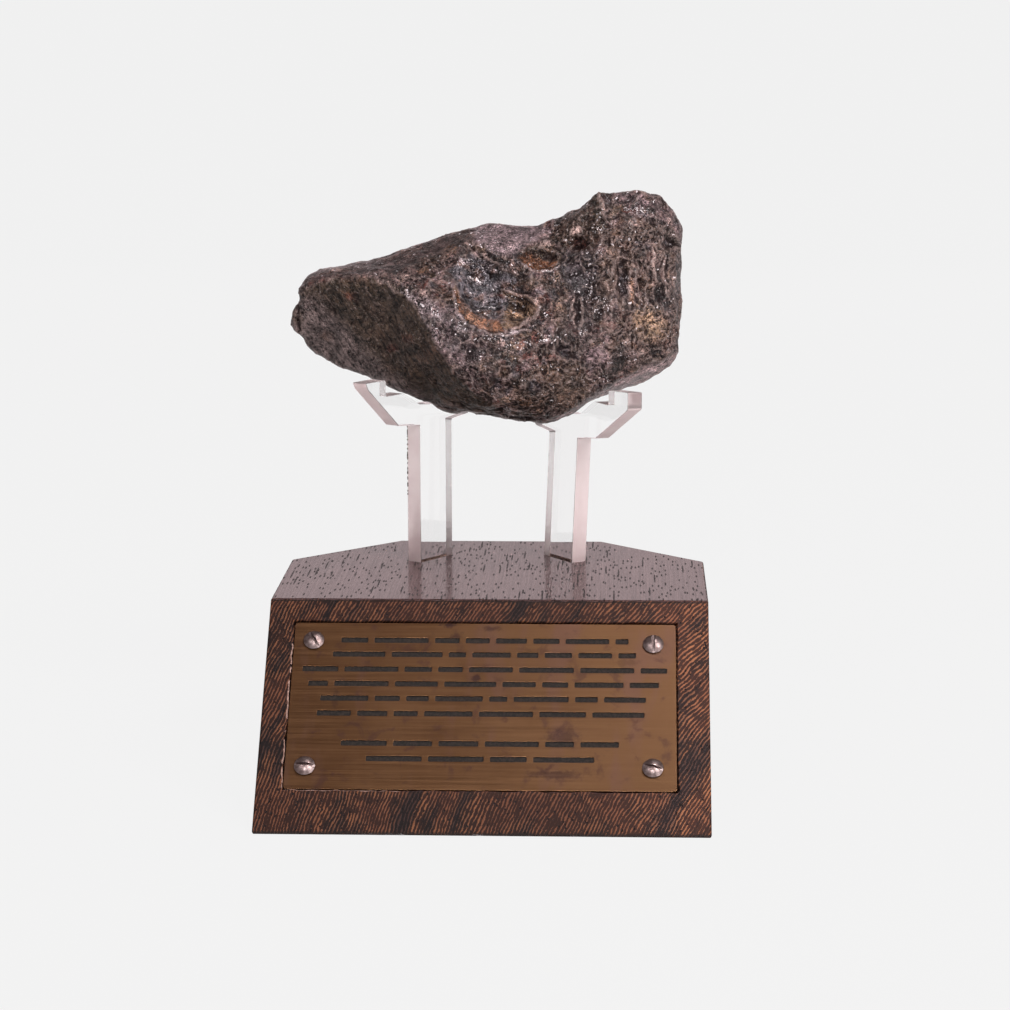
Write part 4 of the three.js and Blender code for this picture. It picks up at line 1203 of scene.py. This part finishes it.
def recess_cutter(materials):
    """A ragged prism with a slanted rim, whose slant is bare wood where the rim is chipped."""
    left, top = on_plaque(-RIM_GAPS[0], -RIM_GAPS[1])
    right, bottom = on_plaque(PLAQUE_WIDTH + RIM_GAPS[2], PLAQUE_HEIGHT + RIM_GAPS[3])
    corners = [np.array(p) for p in ((left, bottom), (right, bottom), (right, top), (left, top))]
    outline, outward = [], []
    for a, b in zip(corners, corners[1:] + corners[:1]):
        steps = int(np.linalg.norm(b - a) / RIM_STEP)
        way = unit(np.array(((b - a)[1], -(b - a)[0])))
        outline += [a + (b - a) * (k / steps) for k in range(steps)]
        outward += [way] * steps
    outline, outward = np.array(outline), np.array(outward)
    flat = np.column_stack([outline, np.full(len(outline), 3.0)])
    chipped = (outline[:, 0] < left + 0.5) & (outline[:, 1] < top - 6)
    chipped |= (outline[:, 1] < bottom + 0.5) & (outline[:, 0] < left + CHIPPED_LENGTH)
    shift = 0.25 * layered(flat + 50, 4.0, 81, 4, 0.65)
    slant = RIM_SLANT * (0.55 + 0.5 * layered(flat, 2.2, 84, 3, 0.7)) + 0.12 * chipped
    raw = chipped & (layered(flat, 5.0, 86, 3, 0.7) > -0.25)
    sunk = outline + outward * np.clip(shift, -0.4, 0.5)[:, None]
    deep = np.column_stack([sunk, np.full(len(outline), -RECESS_DEPTH)])
    lip = deep + (0, 0, RECESS_DEPTH - 0.3)
    wide = lip + np.column_stack([outward * np.clip(slant, 0.08, 0.9)[:, None], np.full(len(outline), 0.3)])
    high = wide + (0, 0, 4)
    rings = [[SLOPE @ (Vector(p) * MM) for p in ring] for ring in (deep, lip, wide, high)]
    form = bmesh.new()
    joined_loops(form, rings, lambda level, i: 1 if level == 1 and raw[i] else 0)
    turn_outward(form)
    return from_form("recess", form, materials)


def slot_cutter(materials):
    form = bmesh.new()
    for _, _, side, foot, _, _ in SUPPORTS:
        origin, along, _, across, (start, end) = sheet_frame(side, foot)
        half, near, far = LEG_WIDTH / 2 + SLOT_GAP, start - SLOT_GAP, end + SLOT_GAP
        ring = [origin + along * x + across * y for x, y in ((-half, near), (half, near), (half, far), (-half, far))]
        rings = [[(p + Vector((0, 0, z))) * MM for p in ring] for z in (-LEG_DEPTH - SLOT_GAP, 4)]
        joined_loops(form, rings, lambda level, i: 1)
    turn_outward(form)
    return from_form("slots", form, materials)


def make_block(looks):
    """The block with worn edges, cut for the plaque and the two supports. looks: of its skin and of raw wood."""
    side, front, back = BASE_WIDTH / 2, -BASE_DEPTH / 2, BASE_DEPTH / 2
    cut_side, cut_back = side - CORNER_CUT, back - CORNER_CUT
    rear = [(side, cut_back), (cut_side, back), (-cut_side, back), (-side, cut_back)]
    low = [(x, y, 0) for x, y in [(-side, front), (side, front), *rear]]
    high = [(x, y, BASE_HEIGHT) for x, y in [(-side, TOP_FRONT), (side, TOP_FRONT), *rear]]
    form = bmesh.new()
    joined_loops(form, [low, high])
    turn_outward(form)
    round_edges(form, form.edges[:], WORN_EDGE, 3, 0.55)
    shrink_to_metres(form)
    turn_outward(form)
    thing = from_form("block", form, looks)
    for cutter in (recess_cutter(looks), slot_cutter(looks)):
        cut_away(thing, cutter)
        apply_modifiers(thing)
        bpy.data.objects.remove(cutter)
    form = bmesh.new()
    form.from_mesh(thing.data)
    planes_near = {v: np.sort(block_distances(v.co)) for v in form.verts}
    worn = [e for e in form.edges if all(planes_near[v][1] < WORN_EDGE + 0.1 for v in e.verts)]
    worn = [e for e in worn if e.calc_length() > 5 * MM]
    bmesh.ops.subdivide_edges(form, edges=worn, cuts=WEAR_STEPS)
    form.normal_update()
    for vert in form.verts:
        near = np.sort(block_distances(vert.co))
        if near[0] > 0.02 and near[1] < WORN_EDGE:
            push = 0.16 * abs(layered(np.array([vert.co[:]]) / MM, 4.0, 87, 3, 0.7)[0])
            vert.co -= vert.normal * float(push) * MM
    bmesh.ops.triangulate(form, faces=form.faces[:])
    form.to_mesh(thing.data)
    form.free()
    stand_for(thing, "wooden_base")


# X and Z of the middle of the wood's rings, and their spacing
RING_MIDDLE = (138.0, -60.0)
RING_SPACING = 0.86


def wood_material():
    n = Nodes("dark_wood")
    x, _, z = n.split(n.place())
    upward = n.upward()
    level = n.span(upward, 0.85, 0.95)
    right, above = x - RING_MIDDLE[0], z - RING_MIDDLE[1]
    radius = n.math("SQRT", right * right + above * above)
    radius = radius + n.noise(n.place(1, 4, 1), 0.06, 2, 0.5) * 4.0
    radius = radius + n.noise(n.place(1, 1.4, 1), 0.36, 4, 0.66) * 1.15
    wave = n.math("SINE", radius * (2 * math.pi / RING_SPACING))
    fibre = n.noise(n.place(0.22, 3.5, 0.22), 1.0, 3, 0.65)
    breaks = n.noise(n.place(1, 5, 1), 0.5, 3, 0.6)
    line = n.span(wave + (breaks - 0.5) * 4.4 + (fibre - 0.5) * 1.8, 0.2, 1.05)
    bands = n.noise(n.join(radius * 0.17, 0.0, 0.0), 1.0, 3, 0.7)
    patches = n.noise(n.place(1, 5, 1), 0.075, 3, 0.6)
    shade = bands * 0.6 + patches * 0.5
    warm = n.blend(n.span(patches, 0.4, 0.6), (0.232, 0.093, 0.042), (0.155, 0.058, 0.029))
    light = n.blend(n.span(shade, 0.44, 0.58), (0.045, 0.021, 0.016), warm)
    dark = n.blend(n.span(shade, 0.46, 0.60), (0.009, 0.005, 0.005), (0.030, 0.011, 0.007))
    colour = n.lit(n.blend(line, dark, light), n.span(x, 20, 56, 0.66, 1.2))
    streak = n.noise(n.place(0.4, 45, 0.4), 1.0, 3, 0.7)
    plain = n.blend(n.span(streak, 0.3, 0.7), (0.040, 0.024, 0.024), (0.080, 0.050, 0.048))
    colour = n.blend(level * 0.95, colour, plain)

    def pores(dimensions, *rows):
        """Short and long pores: of each row the stretch, the width and the share that is there."""
        found = []
        for stretch, width, share in rows:
            distance, own = n.dots(n.place(*stretch), 1.0, dimensions)
            rich = n.span(n.noise(n.place(1, 3, 1), 0.10, 2), 0.35, 0.65, -0.3, 0.3)
            there = n.span(own + rich, 1.0 - share, 1.04 - share)
            found.append(n.span(distance, width, 1.4 * width, 1.0, 0.0) * there)
        return n.math("MAXIMUM", *found)

    on_top = pores("2D", ((1.2, 7, 1), 0.17, 0.5), ((1.6, 38, 1), 0.12, 0.38))
    on_front = pores("3D", ((1.35, 9, 1.35), 0.17, 0.6), ((1.7, 26, 1.7), 0.13, 0.4))
    pore = on_top * level + on_front * (1.0 - level)
    colour = n.blend(pore * 0.94, colour, (0.005, 0.003, 0.003))
    # Painted shade: the wood is painted near black along its foot, where it meets the floor, and in a band along the
    # rounded top front edge
    foot = n.span(z, 0.45, 1.0, 0.85, 0.0)
    painted_top_edge_shade = n.span(z, 50.1, 50.3) * n.span(upward, 0.75, 0.95, 0.85, 0.0)
    colour = n.blend(n.math("MAXIMUM", foot, painted_top_edge_shade), colour, (0.008, 0.005, 0.004))
    shine = level * n.span(streak, 0.3, 0.7, 0.30, 0.42) + 0.05
    return n.surface(
        Base_Color=colour, Roughness=n.span(fibre, 0.3, 0.7, 0.42, 0.55), Specular_IOR_Level=0.15,
        Normal=n.bump(line * 0.3 - pore * 1.6, 0.5, 0.18), Coat_Weight=(1.0 - pore) * shine, Coat_Roughness=0.13,
        Coat_IOR=1.5, Coat_Tint=(1.0, 0.86, 0.90),
    )


# Rows of plain engraved rules: the row's distance from the plaque's top, and where each rule starts and ends.
RULE_HEIGHT = 1.6
RULE_DEPTH = 0.3
RULE_ROWS = [
    (5.4, 12.6, 89), (9.8, 10.6, 91), (14.4, 2.8, 99.2), (18.9, 4.6, 97), (23.4, 8.0, 93.6),
    (28.0, 7.4, 93.2), (37.0, 14.2, 86.6), (41.6, 21.0, 80.2),
]
RULE_GAP = 1.7


def rule_outlines():
    rng = np.random.default_rng(12)
    outlines = []
    for drop, start, end in RULE_ROWS:
        at = start
        while at < end - 2:
            length = min(float(rng.uniform(4.5, 15)), end - at)
            if end - at - length < 4.5:
                length = end - at
            corners = [
                (at, drop + RULE_HEIGHT / 2), (at + length, drop + RULE_HEIGHT / 2),
                (at + length, drop - RULE_HEIGHT / 2), (at, drop - RULE_HEIGHT / 2),
            ]
            outlines.append([on_plaque(*p) for p in rounded(corners, 0.35, 3)])
            at += length + RULE_GAP
    return outlines


def make_plaque(looks):
    """looks: of the brass and of the dark fill of its rules."""
    left, top = on_plaque(0, 0)
    right, bottom = on_plaque(PLAQUE_WIDTH, PLAQUE_HEIGHT)
    rim = rounded([(left, bottom), (right, bottom), (right, top), (left, top)], 0.9, 4)
    loops = [rim, *rule_outlines()]
    places, faces = [], []
    for loop in loops:
        first = len(places)
        places += [Vector((float(x), float(y))) for x, y in loop]
        faces.append(list(range(first, first + len(loop))))
    spots, _, triangles, _, _, made_from = delaunay_2d_cdt(places, [], faces, 1, 1e-6)
    outer = -RECESS_DEPTH + GAP + PLAQUE_THICKNESS
    form = bmesh.new()
    front = [form.verts.new((x, y, outer)) for x, y in spots]
    rules = []
    for triangle, source in zip(triangles, made_from):
        face = form.faces.new([front[i] for i in triangle])
        if any(s > 0 for s in source):
            rules.append(face)
    form.normal_update()
    for face in form.faces:
        if face.normal.z < 0:
            face.normal_flip()
    sunk = bmesh.ops.extrude_face_region(form, geom=rules)
    bmesh.ops.delete(form, geom=rules, context="FACES")
    for item in sunk["geom"]:
        if isinstance(item, bmesh.types.BMVert):
            item.co.z -= RULE_DEPTH
    for face in form.faces:
        if face.calc_center_median().z < outer - 0.01:
            face.material_index = 1
    border = [e for e in form.edges if len(e.link_faces) == 1]
    walls = bmesh.ops.extrude_edge_only(form, edges=border)
    for item in walls["geom"]:
        if isinstance(item, bmesh.types.BMVert):
            item.co.z = outer - PLAQUE_THICKNESS
    bmesh.ops.contextual_create(form, geom=[e for e in form.edges if len(e.link_faces) == 1])
    turn_outward(form)
    edge_loops = []
    for edge in form.edges:
        high = all(abs(v.co.z - outer) < 1e-4 for v in edge.verts)
        if high and len(edge.link_faces) == 2 and edge.calc_face_angle(0) > 1.0:
            edge_loops.append(edge)
    round_edges(form, edge_loops, EDGE_BEVEL, 2)
    shrink_to_metres(form)
    thing = from_form("brass_plate", form, looks)
    thing.matrix_world = SLOPE
    stand_for(thing, "plaque")


# Stains of the brass: distance from the plaque's left and top edge, half width and half height in mm, strength
STAINS = [
    (40.9, 0.6, 2.2, 1.0, 0.9), (52.6, 1.6, 3.2, 1.1, 0.6), (43.5, 4.6, 1.8, 2.2, 0.6), (49.0, 17.0, 1.8, 1.5, 0.8),
    (72.0, 34.5, 5.5, 2.4, 0.6), (70.5, 46.0, 8.0, 1.6, 0.5), (12.0, 24.0, 1.0, 4.5, 0.35),
    (88.0, 12.0, 4.0, 1.6, 0.3),
]


def brass_material():
    n = Nodes("aged_brass")
    where = n.place()
    x, y, _ = n.split(where)
    cloud = n.noise(where, 0.05, 5, 0.62)
    brush = n.noise(n.place(30, 0.35, 1), 1.0, 3, 0.6)
    stain = n.noise(where, 0.16, 4, 0.6, 0.4)
    blush = n.noise(n.place(14, 45, 14), 1.0, 3, 0.6)
    # Painted reflection: the plate is painted brighter towards the right, on top of its uneven tone
    tone_and_painted_reflection = n.span(x, -52, 52, 0.0, 0.55, False) + cloud * 0.9
    colour = n.blend(n.span(tone_and_painted_reflection, 0.25, 1.0), (0.082, 0.038, 0.016), (0.122, 0.062, 0.029))
    colour = n.blend(n.span(brush, 0.4, 0.75) * 0.15, colour, (0.20, 0.115, 0.055))
    colour = n.blend(n.span(blush, 0.52, 0.68) * 0.5, colour, (0.120, 0.062, 0.048))
    colour = n.blend(n.span(stain, 0.55, 0.70) * 0.6, colour, (0.062, 0.030, 0.024))
    ragged = (n.noise(where, 0.45, 3, 0.65) - 0.5) * 2.2
    for from_left, from_top, half_width, half_height, strength in STAINS:
        across, up = on_plaque(from_left, from_top)
        right, above = (x - across) / half_width, (y - up) / half_height
        away = n.math("SQRT", right * right + above * above) + ragged
        colour = n.blend(n.span(away, 0.3, 1.1, strength, 0.0), colour, (0.034, 0.018, 0.018))
    rough = n.span(brush, 0.3, 0.7, 0.34, 0.48)
    return n.surface(
        Base_Color=colour, Metallic=0.9, Roughness=rough, Normal=n.bump(brush + cloud * 3.0, 0.12, 0.1)
    )


HEAD_RADIUS = 2.75
HEAD_HEIGHT = 1.15
SLOT_WIDTH = 0.75
SLOT_DEPTH = 1.0
SHANK_RADIUS = 1.2
SHANK_LENGTH = 9
SCREWS = [
    ("screw_top_left", (5.3, 5.7), -58),
    ("screw_top_right", (PLAQUE_WIDTH - 6, 6.3), -88),
    ("screw_bottom_left", (5.2, PLAQUE_HEIGHT - 6.7), -4),
    ("screw_bottom_right", (PLAQUE_WIDTH - 6.2, PLAQUE_HEIGHT - 6.8), -14),
]
HEAD_STEPS = 64


def screw_profile():
    sphere = (HEAD_RADIUS**2 + HEAD_HEIGHT**2) / (2 * HEAD_HEIGHT)
    edge = math.asin(HEAD_RADIUS / sphere)
    profile = [(0, -SHANK_LENGTH), (SHANK_RADIUS, SHANK_RADIUS - SHANK_LENGTH), (SHANK_RADIUS, GAP)]
    profile += [(HEAD_RADIUS - 0.12, GAP), (HEAD_RADIUS, GAP + 0.08)]
    for i in range(1, 13):
        angle = edge * (1 - i / 12) * 0.985
        profile.append((sphere * math.sin(angle), GAP + HEAD_HEIGHT - sphere + sphere * math.cos(angle)))
    return profile


def make_screw(name, inset, turn, look):
    form = bmesh.new()
    chain = [form.verts.new((radius, 0, height)) for radius, height in screw_profile()]
    for a, b in zip(chain, chain[1:]):
        form.edges.new((a, b))
    bmesh.ops.spin(
        form, geom=form.verts[:] + form.edges[:], axis=(0, 0, 1), cent=(0, 0, 0),
        steps=HEAD_STEPS, angle=2 * math.pi, use_duplicate=False,
    )
    bmesh.ops.remove_doubles(form, verts=form.verts[:], dist=1e-4)
    turn_outward(form)
    thing = from_form(name + "_head", form, [])
    half = (1.5 * HEAD_RADIUS, SLOT_WIDTH / 2, SLOT_DEPTH)
    corners = [(sx * half[0], sy * half[1], sz * half[2]) for sx in (-1, 1) for sy in (-1, 1) for sz in (-1, 1)]
    box_faces = [(0, 1, 3, 2), (4, 6, 7, 5), (0, 4, 5, 1), (2, 3, 7, 6), (0, 2, 6, 4), (1, 5, 7, 3)]
    cutter_points = np.array(corners) + np.array((0, 0, GAP + HEAD_HEIGHT))
    cutter = make_object(name + "_cutter", cutter_points / MM, box_faces, [], False)
    cut_away(thing, cutter)
    soften = thing.modifiers.new("soften", "BEVEL")
    soften.width = 0.07
    soften.segments = 2
    soften.limit_method = "ANGLE"
    soften.angle_limit = math.radians(40)
    apply_modifiers(thing)
    bpy.data.objects.remove(cutter)
    thing.data.transform(Matrix.Scale(MM, 4))
    thing.data.materials.clear()
    thing.data.materials.append(look)
    thing.data.polygons.foreach_set("use_smooth", [True] * len(thing.data.polygons))
    thing.data.set_sharp_from_angle(angle=math.radians(35))
    x, y = on_plaque(*inset)
    seat = -RECESS_DEPTH + GAP + PLAQUE_THICKNESS
    spin = Matrix.Rotation(math.radians(turn), 4, "Z")
    thing.matrix_world = SLOPE @ Matrix.Translation((x * MM, y * MM, seat * MM)) @ spin
    stand_for(thing, name)


def nickel_material():
    n = Nodes("nickel")
    scratch = n.noise(n.place(0.2, 3, 1), 1.0, 3, 0.6)
    cloud = n.noise(n.place(), 0.8, 3, 0.6)
    colour = n.blend(n.span(cloud, 0.35, 0.7), (0.18, 0.132, 0.124), (0.31, 0.25, 0.24))
    rough = n.span(scratch, 0.3, 0.7, 0.34, 0.46)
    return n.surface(Base_Color=colour, Metallic=1.0, Roughness=rough, Normal=n.bump(scratch, 0.1, 0.05))


# Studio: the floor's reach in millimetres and its glow

FLOOR_REACH = 60000
FLOOR_GLOW = (0.87, 0.87, 0.87)
# Lights: name, place and size in metres, power in watts, colour
LIGHTS = [
    ("key", (0.80, -0.75, 0.95), (0.45, 0.45), 17, (1.0, 0.94, 0.94)),
    ("front", (-0.05, -1.05, 0.65), (0.1, 0.1), 5, (1.0, 0.95, 0.96)),
    ("top", (0.3, -0.1, 1.2), (0.12, 0.12), 5, (1.0, 0.95, 0.96)),
    ("side", (-0.55, -0.8, 0.95), (0.1, 0.1), 2.5, (1.0, 0.95, 0.96)),
    ("low", (0.95, -0.85, 0.03), (0.4, 0.1), 4, (1.0, 0.94, 0.95)),
    ("back", (0, 1.3, 0.40), (1.8, 0.5), 2.5, (1.0, 0.84, 0.86)),
]
LIT_PLACE = (0, 0, 0.09)
# Brightness and colour of the room by height: the sine of the elevation, and the colour there
ROOM = [
    (-0.25, (1.10, 1.00, 1.00)),
    (-0.04, (0.26, 0.225, 0.23)),
    (0.06, (0.30, 0.26, 0.265)),
    (0.20, (0.34, 0.295, 0.30)),
    (0.42, (0.28, 0.245, 0.25)),
    (1.00, (0.23, 0.205, 0.205)),
]


def make_floor():
    n = Nodes("floor")
    soft = n.noise(n.place(400, 400, 400), 1.0, 2)
    colour = n.blend(n.span(soft, 0.0, 1.0), (0.013, 0.013, 0.013), (0.015, 0.015, 0.015))
    look = n.surface(
        Base_Color=colour, Roughness=1.0, Specular_IOR_Level=0.0, Emission_Color=FLOOR_GLOW, Emission_Strength=1.0
    )
    corners = [(x * FLOOR_REACH, y * FLOOR_REACH, 0) for x, y in ((-1, -1), (1, -1), (1, 1), (-1, 1))]
    floor = make_object("floor", corners, [(0, 1, 2, 3)], [look], False)
    floor.visible_diffuse = False
    floor.visible_glossy = False


def make_world():
    n = Nodes("studio", "worlds")
    height = n.split(n.value("Generated", "ShaderNodeTexCoord", {}))[2]
    ramp = n.node("ShaderNodeValToRGB", {"Fac": n.span(height, -1, 1, smoothly=False)})
    stops = ramp.color_ramp.elements
    while len(stops) < len(ROOM):
        stops.new(0.5)
    for stop, (elevation, colour) in zip(stops, ROOM):
        stop.position = (elevation + 1) / 2
        stop.color = (*colour, 1)
    glow = n.value(0, "ShaderNodeBackground", {"Color": Value(n, ramp.outputs["Color"])})
    n.node("ShaderNodeOutputWorld", {"Surface": glow})
    bpy.context.scene.world = n.owner


def add_light(name, place, size, power, colour):
    data = bpy.data.lights.new(name, "AREA")
    data.shape = "RECTANGLE"
    data.size, data.size_y = size
    data.energy = power
    data.color = colour
    light = bpy.data.objects.new(name, data)
    light.location = place
    light.rotation_mode = "QUATERNION"
    light.rotation_quaternion = (Vector(LIT_PLACE) - Vector(place)).to_track_quat("-Z", "Y")
    bpy.context.scene.collection.objects.link(light)


make_camera()
make_floor()
make_world()
for row in LIGHTS:
    add_light(*row)
bpy.context.scene.view_settings.view_transform = "Standard"

stone_points, stone_faces, stone_tint, stone_fields = stone_mesh()
stone = make_object("meteorite_stone", stone_points, stone_faces, [stone_material()])
opaque_tint = np.column_stack([stone_tint, np.ones(len(stone_tint))])
add_attribute(stone.data, "tint", "FLOAT_COLOR", "color", opaque_tint)
for field_name, field_values in stone_fields.items():
    add_attribute(stone.data, field_name, "FLOAT", "value", field_values)
stand_for(stone, "meteorite")

chip_colours = (0.030, 0.020, 0.019), (0.100, 0.070, 0.066)
chip_look = grainy_material("chip_dirt", (), (2.0, 2), (0.35, 0.7), chip_colours, (0.3, 0.1), Roughness=0.8)
plate_looks = [clear_material(), edge_material(), chip_look]
for support in SUPPORTS:
    make_plate(*support, plate_looks)

wood_look = wood_material()
raw_colours = (0.10, 0.05, 0.035), (0.34, 0.22, 0.18)
raw_look = grainy_material(
    "chipped_wood", (1, 4, 1), (1.6, 3, 0.7), (0.3, 0.7), raw_colours, (0.5, 0.2), Roughness=0.6
)
make_block([wood_look, raw_look])

brass_look = brass_material()
fill_colours = (0.006, 0.005, 0.004), (0.020, 0.014, 0.011)
fill_look = grainy_material(
    "engraved_fill", (), (1.5, 3), (0.35, 0.7), fill_colours, (0.3, 0.1), Roughness=0.7, Specular_IOR_Level=0.2
)
make_plaque([brass_look, fill_look])

nickel = nickel_material()
for screw in SCREWS:
    make_screw(*screw, nickel)
